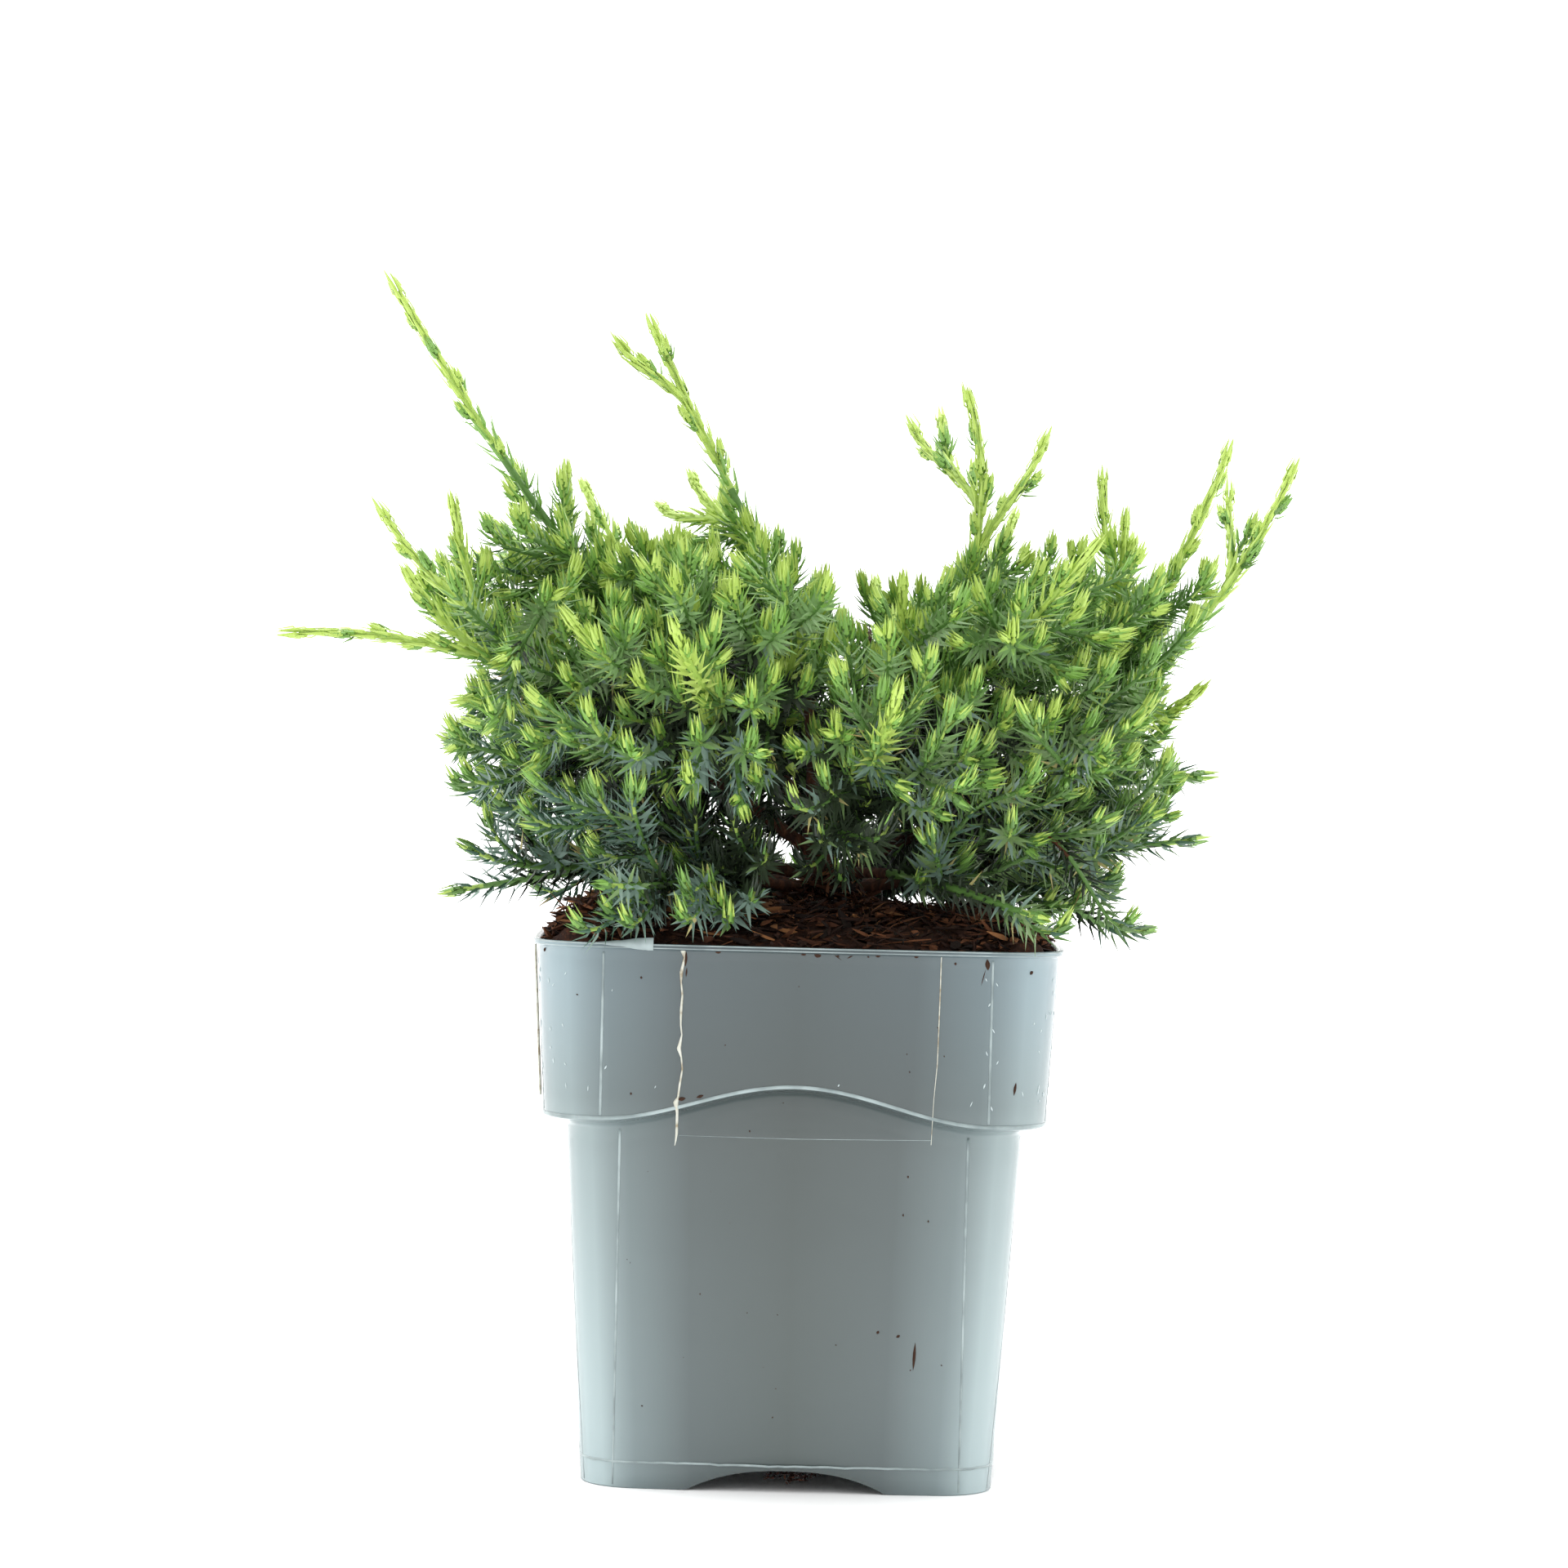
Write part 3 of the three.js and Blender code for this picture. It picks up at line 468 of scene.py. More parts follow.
def grained(material, stops, scale, detail=3, roughness=0.55, stretch=(1, 1, 1), bump=None):
    """Colours a material by fine noise, with a bump of a strength and a distance on the same grains."""
    tree = material.node_tree
    grains = noise_factor(tree, object_places(tree, stretch), scale, detail, roughness)
    colour = colour_steps(tree, grains, linear_stops(stops))
    tree.links.new(colour, tree.nodes["Principled BSDF"].inputs["Base Color"])
    if bump:
        add_bump(material, grains, *bump)
    return material


def pot_plastic():
    """Grey-blue moulded plastic, glossy, with painted light that makes it paler towards the corners, where
    light gets through and reflects, and painted shade by height.
    """
    material = plain("pot_plastic", (112, 126, 128), 0.2)
    tree = material.node_tree
    shader = tree.nodes["Principled BSDF"]
    places = object_places(tree)
    parts = tree.nodes.new("ShaderNodeSeparateXYZ")
    tree.links.new(places, parts.inputs["Vector"])
    across, deep = [maths(tree, "ABSOLUTE", parts.outputs[axis]) for axis in "XY"]
    least, most = [maths(tree, operation, across, deep) for operation in ("MINIMUM", "MAXIMUM")]
    near_corner = maths(tree, "DIVIDE", least, most)
    # Painted light: the plastic grows paler from the middle of a face to its corners
    colour = colour_steps(tree, near_corner, linear_stops(POT_PAINTED_CORNER_LIGHT))
    clouds = colour_steps(tree, noise_factor(tree, places, 12, 3), POT_CLOUDS)
    height = maths(tree, "DIVIDE", parts.outputs["Z"], POT_HEIGHT * MM)
    # Multiplies in the faint clouds and the painted shade by height
    for factor in (clouds, colour_steps(tree, height, POT_PAINTED_SHADE)):
        mix = node(tree, "ShaderNodeMix", data_type="RGBA", blend_type="MULTIPLY")
        mix.inputs["Factor"].default_value = 1.0
        tree.links.new(colour, mix.inputs["A"])
        tree.links.new(factor, mix.inputs["B"])
        colour = mix.outputs["Result"]
    tree.links.new(colour, shader.inputs["Base Color"])
    add_bump(material, noise_factor(tree, places, 26, 2), 0.05, 0.0006)
    shader.inputs["Subsurface Weight"].default_value = 0.1
    shader.inputs["Subsurface Radius"].default_value = (0.002, 0.0024, 0.0026)
    shader.inputs["Subsurface Scale"].default_value = 1.0
    return material


def pot_highlight_and_film():
    """Paler plastic: a painted highlight on the pot's beads, and the colour of the label's torn flap and
    foot.
    """
    stops = [(0.35, (118, 131, 132)), (0.65, (160, 174, 175))]
    return grained(plain("pot_highlight_and_film", (146, 160, 161), 0.3), stops, 90)


def label_film():
    """Yellowed edge of the clear label."""
    stops = [(0.36, (142, 130, 106)), (0.5, (190, 190, 176)), (0.7, (208, 210, 200))]
    return grained(plain("label_film", (190, 188, 172), 0.35), stops, 260)


def peat_ground():
    """Dark reddish peat between the fibres."""
    stops = [(0.3, (18, 10, 7)), (0.52, (50, 28, 18)), (0.72, (96, 58, 36))]
    return grained(plain("peat_ground", (64, 36, 22), 0.95, 0.25), stops, 420, 8, 0.7, bump=(0.8, 0.0012))


def bark_skin():
    """Reddish-brown flaking bark with paler lifted edges."""
    material = plain("bark_skin", (110, 62, 40), 0.8, 0.3)
    stops = [(0.3, (30, 18, 13)), (0.48, (60, 35, 23)), (0.62, (92, 56, 36)), (0.78, (130, 90, 62))]
    return grained(material, stops, 520, 7, 0.65, (1, 1, 0.35), (0.7, 0.0005))


# Meshes: a body is its points in millimetres and its blocks of faces with equal corner counts


def mesh_piece(name, body, materials, painted=None, smooth=True):
    """A piece from a body; `painted` holds, block by block, each face's place in the list of materials."""
    points, blocks = body
    mesh = bpy.data.meshes.new(name)
    mesh.vertices.add(len(points))
    mesh.vertices.foreach_set("co", (np.asarray(points) * MM).astype(np.float32).ravel())
    corners = np.concatenate([block.ravel() for block in blocks]).astype(np.int32)
    sizes = np.concatenate([np.full(len(block), block.shape[1]) for block in blocks])
    starts = np.concatenate([[0], np.cumsum(sizes)[:-1]]).astype(np.int32)
    mesh.loops.add(len(corners))
    mesh.loops.foreach_set("vertex_index", corners)
    mesh.polygons.add(len(sizes))
    mesh.polygons.foreach_set("loop_start", starts)
    if painted is not None:
        mesh.polygons.foreach_set("material_index", np.concatenate(painted).astype(np.int32))
    mesh.polygons.foreach_set("use_smooth", np.full(len(sizes), smooth))
    mesh.update(calc_edges=True)
    for material in materials:
        mesh.materials.append(material)
    piece = bpy.data.objects.new(name, mesh)
    bpy.context.scene.collection.objects.link(piece)
    return piece


def place(piece, slot, *nodes):
    """Lets a piece ride with the plant and hides the solids that it stands for; its slot is not used."""
    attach(piece, "root")
    if nodes:
        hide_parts(*nodes)


def ring_quads(rings, count):
    """Faces between rings of points that are closed round."""
    ring, station = np.meshgrid(np.arange(rings - 1), np.arange(count), indexing="ij")
    here = ring * count + station
    beside = ring * count + (station + 1) % count
    return np.stack([here, beside, beside + count, here + count], axis=-1).reshape(-1, 4)


def end_fan(apex, start, count, upward):
    """Triangles from a middle point to a ring."""
    station = np.arange(count)
    here = start + station
    beside = start + (station + 1) % count
    pair = (here, beside) if upward else (beside, here)
    return np.stack([*pair, np.full(count, apex)], axis=-1)


def ringed_mesh(start, rings, end):
    """A closed body through rings, from a middle point at each end."""
    count = len(rings[0])
    points = np.concatenate([*rings, [start, end]])
    apex = len(points) - 2
    blocks = [
        ring_quads(len(rings), count),
        end_fan(apex, 0, count, upward=False),
        end_fan(apex + 1, (len(rings) - 1) * count, count, upward=True),
    ]
    return points, blocks


def joined(bodies):
    """Several bodies as one."""
    points = []
    blocks = []
    first = 0
    for cloud, faces in bodies:
        points.append(cloud)
        blocks.extend(block + first for block in faces)
        first += len(cloud)
    return np.concatenate(points), blocks


def unit(vectors):
    return vectors / np.linalg.norm(vectors, axis=-1, keepdims=True)


def smoothstep(value, low, high):
    share = np.clip((value - low) / (high - low), 0, 1)
    return share * share * (3 - 2 * share)


def lerp(start, end, share):
    return start + (end - start) * share


def turns(count):
    """Angles evenly spaced round a circle."""
    return 2 * math.pi * np.arange(count) / count


def relief(points, size, seed):
    """Smooth random heights, about -1 to 1, at points; size is the width of a swelling in millimetres."""
    shift = Vector((seed * 17.3, seed * 5.1, seed * 9.7))
    places = [Vector(point) / size + shift for point in np.asarray(points, float)]
    return np.array([noise.fractal(place, 0.8, 2.1, 3) for place in places])


# Pot


def outline(half, corner):
    """Points round a rounded square with slightly full faces, and how far each is along its face."""
    flat = half - FACE_BULGE - corner
    share = np.linspace(-1, 1, FACE_STEPS + 1)
    turn = np.linspace(0, math.pi / 2, CORNER_STEPS + 1)[1:-1]
    along = np.concatenate([share * flat, flat + corner * np.sin(turn)])
    out = np.concatenate([half - FACE_BULGE * share**2, flat + corner * np.cos(turn)])
    sides = []
    for angle in turns(4):
        x = out * math.cos(angle) - along * math.sin(angle)
        y = out * math.sin(angle) + along * math.cos(angle)
        sides.append(np.stack([x, y], axis=1))
    from_middle = np.tile(np.minimum(np.abs(along), np.abs(out)), 4)
    return np.concatenate(sides), from_middle


def collar_edge(from_middle):
    """Height of the collar's wavy lower edge, by the distance from the middle of the face."""
    share = np.minimum(1, from_middle / COLLAR_WAVE_HALF)
    return lerp(COLLAR_EDGE_LOW, COLLAR_EDGE_HIGH, 0.5 + 0.5 * np.cos(math.pi * share))


def foot_edge(from_middle):
    """Height of the foot's rounded edge, which is arched up in the middle of each face."""
    return ARCH_TOP * np.maximum(0, 1 - (from_middle / ARCH_HALF) ** ARCH_SHAPE) + FOOT_ROUNDING


def pot_ring(half, corner, base, rise=0.0):
    """One ring of points; its base is a height or a rule of the distance from the face's middle."""
    places, from_middle = outline(half, corner)
    z = base(from_middle) if callable(base) else np.full(len(places), float(base))
    return np.column_stack([places, z + rise])


def rings_between(halves, corner, rule, steps):
    """Rings from one half width to another, at a rule of the distance from the middle and the share."""
    rings = []
    for share in np.arange(1, steps + 1) / steps:
        rings.append(pot_ring(lerp(*halves, share), corner, lambda away, share=share: rule(away, share)))
    return rings


def body_height(away, share):
    return lerp(foot_edge(away), collar_edge(away) - SHOULDER_DROP, share)


def collar_height(away, share):
    return lerp(collar_edge(away) + 1, LIP_FOOT - 0.5, share)


def pot_rings():
    """Rings from under the floor round the outside, the rolled edge and the lip, and down the inside."""
    inner_body = BODY_CORNER - WALL
    inner_collar = COLLAR_CORNER - WALL
    return [
        pot_ring(FOOT_HALF - WALL, inner_body, FLOOR_UNDERSIDE),
        pot_ring(FOOT_HALF - WALL, inner_body, foot_edge, 0.2 - FOOT_ROUNDING),
        pot_ring(FOOT_HALF - FOOT_ROUNDING, BODY_CORNER, foot_edge, -FOOT_ROUNDING),
        pot_ring(FOOT_HALF, BODY_CORNER, foot_edge),
        *rings_between((FOOT_HALF, WAIST_HALF), BODY_CORNER, body_height, BODY_STEPS),
        pot_ring(WAIST_HALF + 1.2, BODY_CORNER + 0.8, collar_edge, 1.1 - SHOULDER_DROP),
        pot_ring(COLLAR_FOOT_HALF - 2.6, COLLAR_CORNER - 1.6, collar_edge, -0.9),
        *[pot_ring(COLLAR_FOOT_HALF - inset, COLLAR_CORNER, collar_edge, up) for inset, up in ROLLED_EDGE],
        *rings_between((COLLAR_FOOT_HALF, COLLAR_TOP_HALF), COLLAR_CORNER, collar_height, COLLAR_STEPS),
        *[pot_ring(COLLAR_TOP_HALF + out, COLLAR_CORNER, LIP_FOOT, up) for out, up in LIP_PROFILE],
        pot_ring(LIP_HALF - WALL + 0.45, inner_collar, POT_HEIGHT),
        pot_ring(LIP_HALF - WALL, inner_collar, POT_HEIGHT, -0.4),
        pot_ring(COLLAR_TOP_HALF - WALL, inner_collar, LIP_FOOT),
        pot_ring(COLLAR_FOOT_HALF - WALL, inner_collar, collar_edge, 1.5),
        pot_ring(WAIST_HALF - WALL, inner_body, collar_edge, 1.9 - SHOULDER_DROP),
        pot_ring(FOOT_HALF - WALL + 0.4, inner_body, FLOOR_TOP),
    ]


def make_pot(material):
    body = ringed_mesh((0, 0, FLOOR_UNDERSIDE), pot_rings(), (0, 0, FLOOR_TOP))
    pot = mesh_piece("pot_shell", body, [material])
    cut_slots(pot)
    pot.data.set_sharp_from_angle(angle=math.radians(48))
    place(pot, "pot_plastic", "pot")


def cut_slots(pot):
    """Cuts the four drain slots through the floor of the pot."""
    corners = np.array([(x, y, z) for x in (-0.5, 0.5) for y in (-0.5, 0.5) for z in (-0.5, 0.5)])
    quads = np.array([(0, 1, 3, 2), (4, 6, 7, 5), (0, 4, 5, 1), (2, 3, 7, 6), (0, 2, 6, 4), (1, 5, 7, 3)])
    box = corners * SLOT_SIZE + (0, SLOT_OUT, FLOOR_TOP)
    boxes = [(box @ np.array(Matrix.Rotation(angle, 3, "Z")).T, [quads]) for angle in turns(4)]
    cutter = mesh_piece("slot_cutter", joined(boxes), [])
    cut = pot.modifiers.new("slots", "BOOLEAN")
    cut.operation = "DIFFERENCE"
    cut.solver = "EXACT"
    cut.object = cutter
    seen = bpy.context.evaluated_depsgraph_get()
    pot.data = bpy.data.meshes.new_from_object(pot.evaluated_get(seen))
    pot.modifiers.clear()
    bpy.data.objects.remove(cutter)


# Marks on the pot


def on_face(side, along, z, off=0.0, hanging=False):
    """Places on a face of the pot and the ways out of it; hanging ones stay in the collar's plane."""
    away = np.abs(along)
    low = foot_edge(away)
    edge = collar_edge(away)
    body_half = lerp(FOOT_HALF, WAIST_HALF, (z - low) / (edge - SHOULDER_DROP - low))
    rise = (np.maximum(z, edge) - edge - 1) / (LIP_FOOT - edge - 1.5)
    on_collar = hanging | (z > edge)
    half = np.where(on_collar, lerp(COLLAR_FOOT_HALF, COLLAR_TOP_HALF, rise), body_half)
    corner = np.where(on_collar, COLLAR_CORNER, BODY_CORNER)
    flat = half - FACE_BULGE - corner
    over = np.maximum(away - flat, 0)
    square = np.sqrt(np.maximum(corner**2 - over**2, 0))
    out = half - FACE_BULGE * np.minimum(away / flat, 1) ** 2 - corner + square + off
    sine, cosine = math.sin(side * math.pi / 2), math.cos(side * math.pi / 2)
    lean = np.sign(along) * over / corner
    straight = square / corner
    places = np.column_stack([along * cosine + out * sine, along * sine - out * cosine, z])
    ways = np.column_stack([lean * cosine + straight * sine, lean * sine - straight * cosine, 0 * z])
    return places, ways


def bead(path, out, widths, heights):
    """Body of a low ridge along a path, half sunk into the surface that it lies on."""
    across = unit(np.cross(out, unit(np.gradient(path, axis=0))))
    rings = []
    for angle in turns(6):
        aside = across * (widths * math.cos(angle) / 2)[:, None]
        rings.append(path + aside + out * (heights * math.sin(angle))[:, None])
    return ringed_mesh(path[0], list(np.stack(rings, axis=1)), path[-1])


def round_bead(half, corner, base, lift, width, rise):
    """Body of a bead all round the pot, above a height or a rule of the distance from the face's middle."""
    rings = [
        pot_ring(half + rise * math.cos(angle), corner, base, lift + width / 2 * math.sin(angle))
        for angle in turns(6)
    ]
    points = np.concatenate(rings)
    return points, [ring_quads(7, len(rings[0])) % len(points)]


def face_bead(side, stops, rise, off=0.0, hanging=False, steps=60):
    """A bead on a face through stops of place, height and width."""
    knots = np.linspace(0, 1, len(stops))
    shares = np.linspace(0, 1, steps)
    along, z, widths = [np.interp(shares, knots, values) for values in np.array(stops, float).T]
    path, out = on_face(side, along, z, off, hanging)
    return bead(path, out, widths, np.full(steps, rise))


def mark(side, along, z, length, lean, width):
    """A short bead with pointed ends: a crumb, a splinter or a dried drop."""
    turn = math.radians(lean)
    share = np.linspace(0, 1, 6)
    step = length * (share - 0.5)
    path, out = on_face(side, along + step * math.sin(turn), z + step * math.cos(turn))
    widths = width * np.sin(math.pi * share) + 0.02
    return bead(path, out, widths, np.minimum(widths / 2, 0.4))


def make_pot_lines(material):
    """Pale lines, painted highlights: the collar's bead, both edges of the lip, a low seam and the mould's
    upright lines.
    """
    seam_half = lerp(FOOT_HALF, WAIST_HALF, SEAM_HEIGHT / (COLLAR_EDGE_LOW - SHOULDER_DROP))
    # Pale beads that paint the highlights along the collar's rolled edge, the lip's two edges and the low
    # seam
    parts = [
        round_bead(COLLAR_FOOT_HALF, COLLAR_CORNER, collar_edge, 0.5, 1.3, 0.3),
        round_bead(COLLAR_TOP_HALF + 1.1, COLLAR_CORNER, LIP_FOOT, 1.45, 0.5, 0.25),
        round_bead(COLLAR_TOP_HALF + 1.05, COLLAR_CORNER, LIP_FOOT, 0.45, 0.4, 0.2),
        round_bead(seam_half, BODY_CORNER, SEAM_HEIGHT, 0, 0.8, 0.14),
    ]
    seam = parts[-1][0]
    seam[:, 2] += 0.25 * relief(seam * (1, 1, 0), 3, 6)
    # Place along the face, heights and widths of the top and the foot, and rise of each upright line
    lines = [
        (MOULD_HIGHLIGHT_ON_COLLAR, (169.5, collar_edge(MOULD_HIGHLIGHT_ON_COLLAR) + 1.5), (0.7, 0.9), 0.08),
        (MOULD_HIGHLIGHT_ON_BODY, (collar_edge(MOULD_HIGHLIGHT_ON_BODY) - SHOULDER_DROP - 0.5, 1), (0.8, 0.6), 0.07),
    ]
    for side in range(4):
        for sign in (-1, 1):
            for along, heights, widths, rise in lines:
                stops = [(sign * along, height, width) for height, width in zip(heights, widths)]
                parts.append(face_bead(side, stops, rise))
    place(mesh_piece("pot_lines", joined(parts), [material]), "pot_plastic")


def make_label_edges(material, pale):
    """Edges of the clear label, which hang a little below the collar, and its torn flap on the rim."""
    edges = [
        face_bead(0, LABEL_LEFT, 0.3, 0.1, hanging=True, steps=120),
        face_bead(0, LABEL_RIGHT, 0.15, 0.1, hanging=True),
        face_bead(3, LABEL_SIDE, 0.5, 0.9, hanging=True),
    ]
    place(mesh_piece("label_edges", joined(edges), [material]), "pot_plastic")
    start, end, y, steps = FLAP
    path = np.linspace((start, y, POT_HEIGHT - 0.1), (end, y, POT_HEIGHT - 0.1), steps)
    heights = np.linspace(0.2, 2.6, steps) * (1 + 0.15 * relief(path, 4, 8))
    flap = bead(path, np.tile(UP, (steps, 1)), np.full(steps, 0.5), heights)
    foot = face_bead(0, LABEL_FOOT, 0.06, 0.1, hanging=True)
    place(mesh_piece("label_flap", joined([flap, foot]), [pale]), "pot_plastic")


def make_pot_marks(pale, crumbs):
    """Dried drops, crumbs and splinters on the pot, listed on the front and strewn on all faces."""
    random = np.random.default_rng(MARKS_SEED)
    drops = [
        mark(0, *spot, random.uniform(0.8, 2), random.uniform(-35, 35), random.uniform(0.25, 0.55))
        for spot in DRIED_DROPS
    ]
    bits = [mark(0, *spot) for spot in CRUMBS]
    for _ in range(STREWN_CRUMBS):
        side = random.integers(0, 4)
        strip = random.uniform() < CRUMBS_IN_STRIP
        z = random.normal(STRIP_HEIGHT, 0.4) if strip else random.uniform(12, 168)
        reach = 70 if z > 130 else 54
        along = random.uniform(-reach, reach)
        size = random.uniform(0.3, 0.8) * (1.6 if strip else 1)
        bits.append(mark(side, along, min(z, 171), size, random.uniform(0, 180), size * 0.6))
        if side:
            along = random.choice((-1, 1)) * random.uniform(55, 72)
            drops.append(mark(side, along, random.uniform(122, 166), random.uniform(1, 2.2), 0, 0.5))
    place(mesh_piece("pot_drops", joined(drops), [pale]), "pot_plastic")
    place(mesh_piece("pot_crumbs", joined(bits), [crumbs]), "peat")


# Peat


def soil_height(x, y):
    """Height of the heaped soil at places inside the pot."""
    out = np.minimum(1, np.maximum(np.abs(x), np.abs(y)) / (COLLAR_TOP_HALF - WALL - SOIL_SLACK))
    heap = SOIL_TOP - (SOIL_TOP - SOIL_EDGE) * out**SOIL_HEAP_POWER
    away = np.hypot(x - TRUNK_FOOT[0], y - TRUNK_FOOT[1]) - SOIL_LEVEL_RADIUS
    rough = smoothstep(away, 0, SOIL_LEVEL_RADIUS)
    return heap + rough * SOIL_RELIEF * np.sin(0.13 * x + 1.1) * np.cos(0.11 * y - 0.4)


def make_peat_ground(material):
    """The body of the soil, with a crumbled top."""
    inset = WALL + SOIL_SLACK
    edge = pot_ring(COLLAR_TOP_HALF - inset, COLLAR_CORNER - WALL, SOIL_EDGE, -1)
    rings = [
        pot_ring(FOOT_HALF - inset + 0.4, BODY_CORNER - WALL, FLOOR_TOP, SOIL_SLACK),
        pot_ring(WAIST_HALF - inset, BODY_CORNER - WALL, collar_edge, 1.9 - SHOULDER_DROP + SOIL_SLACK),
        pot_ring(COLLAR_FOOT_HALF - inset, COLLAR_CORNER - WALL, collar_edge, 1.5 + SOIL_SLACK),
        edge,
    ]
    for share in np.linspace(0.985, 0.02, 44):
        ring = edge * (share, share, 1)
        ring[:, 2] = soil_height(ring[:, 0], ring[:, 1]) - 1
        ring[:, 2] += 1.3 * relief(ring * (1, 1, 0), 7, 3) + 0.8 * relief(ring * (1, 1, 0), 2.2, 4)
        rings.append(ring)
    body = ringed_mesh((0, 0, FLOOR_TOP + SOIL_SLACK), rings, (0, 0, SOIL_TOP - 1))
    place(mesh_piece("peat_ground", body, [material]), "peat", "soil")


def strands(roots, ways, lengths, widths, bends):
    """Body of thin tapered strands with pointed ends."""
    ways = unit(ways)
    across = unit(np.cross(ways, UP + 0.01))
    lift = np.cross(across, ways)
    rings = []
    for share in np.arange(STRAND_STEPS) / STRAND_STEPS:
        middle = roots + ways * (lengths * share)[:, None] + bends * (share**2 * lengths)[:, None]
        girth = widths * (1 - 0.6 * share) * (0.45 if share == 0 else 1)
        for angle in turns(STRAND_SIDES):
            out = across * math.cos(angle) + lift * 0.5 * math.sin(angle)
            rings.append(middle + out * girth[:, None])
    rings.append(roots + ways * lengths[:, None] + bends * lengths[:, None])
    points = np.stack(rings, axis=1).reshape(-1, 3)
    fan = end_fan(STRAND_SIDES * STRAND_STEPS, STRAND_SIDES * (STRAND_STEPS - 1), STRAND_SIDES, upward=True)
    base = np.arange(STRAND_SIDES)[::-1].reshape(1, -1)
    blocks = (ring_quads(STRAND_STEPS, STRAND_SIDES), fan, base)
    return points, [repeated(block, len(roots), len(rings)) for block in blocks]


def repeated(faces, count, stride):
    """Faces of one of many like bodies, repeated for all of them; stride is the number of its points."""
    offsets = (np.arange(count) * stride)[:, None, None]
    return (faces[None] + offsets).reshape(-1, faces.shape[1])


def inside_pot(random, count):
    """Random places on the soil."""
    half = COLLAR_TOP_HALF - WALL - 2
    places = random.uniform(-half, half, (count * 2, 2))
    over = np.maximum(np.abs(places) - half + COLLAR_CORNER, 0)
    return places[np.hypot(*over.T) < COLLAR_CORNER][:count]


def make_peat_fibres():
    """Loose fibres, shreds and crumbs on the soil, heaped round the foot of the trunk and in the corners."""
    random = np.random.default_rng(PEAT_SEED)
    places = [inside_pot(random, LOOSE_SHREDS)]
    heights = [np.zeros(len(places[0]))]
    for middle, spread, height, count in PEAT_HEAPS:
        spots = random.normal(middle, spread, (count, 2))
        away = np.hypot(*((spots - middle) / spread).T)
        keep = np.hypot(*np.maximum(np.abs(spots) - HEAP_INSET, 0).T) < COLLAR_CORNER - WALL - 2
        places.append(spots[keep])
        heights.append((height * np.exp(-0.5 * away**2) * random.uniform(0, 1, count))[keep])
    places = np.concatenate(places)
    count = len(places)
    z = soil_height(*places.T) - 0.6 + random.uniform(0, 1.8, count) + np.concatenate(heights)
    bearing = random.uniform(0, 2 * math.pi, count)
    tilt = random.normal(0.12, 0.3, count)
    ways = np.column_stack([np.cos(bearing), np.sin(bearing), np.tan(np.clip(tilt, -0.4, 1.0))])
    lengths = random.gamma(*SHRED_LENGTHS, count) + LEAST_SHRED[0]
    widths = random.gamma(*SHRED_WIDTHS, count) + LEAST_SHRED[1]
    roots = np.column_stack([places, z]) - unit(ways) * (lengths / 2)[:, None]
    bends = random.normal(0, 0.16, (count, 3)) * (1, 1, 0.5)
    points, blocks = strands(roots, ways, lengths, widths, bends)
    limit = COLLAR_TOP_HALF - WALL - 0.8
    points[:, :2] = np.clip(points[:, :2], -limit, limit)
    materials = [plain(f"peat_shred_{index}", colour, 0.9, 0.3) for index, colour in enumerate(SHREDS)]
    dealt = random.choice(len(SHREDS), count, p=list(SHREDS.values()))
    painted = [np.repeat(dealt, len(block) // count) for block in blocks]
    place(mesh_piece("peat_fibres", (points, blocks), materials, painted, smooth=False), "peat")


def make_arch_crumbs(material):
    """Peat that has washed out of the drain slot and hangs in the front arch."""
    random = np.random.default_rng(ARCH_SEED)
    roots = []
    for x, z, size in ARCH_CRUMBS:
        for _ in range(ARCH_SHREDS):
            roots.append((x, -FOOT_HALF + 5, z) + random.normal(0, (0.8, 1.6, 0.5)) * size / 2)
    roots = np.array(roots)
    roots[:, 2] = np.clip(roots[:, 2], 1.5, FLOOR_UNDERSIDE)
    ways = random.normal(size=roots.shape) * (1, 1, 0.4)
    sizes = np.repeat([size for _, _, size in ARCH_CRUMBS], ARCH_SHREDS)
    lengths = sizes * random.uniform(0.4, 0.9, len(roots))
    bends = random.normal(0, 0.2, roots.shape) * (1, 1, 0)
    body = strands(roots, ways, lengths, lengths * 0.3, bends)
    place(mesh_piece("peat_in_arch", body, [material], smooth=False), "peat")


# Trunk and boughs


class Bezier:
    """Cubic curve that is measured by its length."""

    DIVISIONS = 200

    def __init__(self, start, bend, lead, end):
        self.controls = [np.asarray(point, float) for point in (start, bend, lead, end)]
        self.steps = np.linspace(0, 1, self.DIVISIONS + 1)
        gaps = np.linalg.norm(np.diff(self._at(self.steps), axis=0), axis=1)
        self.table = np.concatenate([[0], np.cumsum(gaps)])
        self.length = self.table[-1]

    def _at(self, steps):
        t = np.asarray(steps, float)[..., None]
        start, bend, lead, end = self.controls
        return (1 - t) ** 3 * start + 3 * (1 - t) ** 2 * t * bend + 3 * (1 - t) * t**2 * lead + t**3 * end

    def _steps(self, shares):
        return np.interp(np.asarray(shares, float) * self.length, self.table, self.steps)

    def points(self, shares):
        return self._at(self._steps(shares))

    def tangents(self, shares):
        t = self._steps(shares)[..., None]
        start, bend, lead, end = self.controls
        return unit((1 - t) ** 2 * (bend - start) + 2 * (1 - t) * t * (lead - bend) + t**2 * (end - lead))


def heading(bearing, rise):
    """Direction from its bearing round from +X and its rise from level, in degrees."""
    turn = math.radians(bearing)
    lift = math.radians(rise)
    return np.array([math.cos(lift) * math.cos(turn), math.cos(lift) * math.sin(turn), math.sin(lift)])


def square_to(tangent):
    """A way square to a tangent."""
    return unit(np.cross(tangent, (0.31, 0.52, 0.8)))


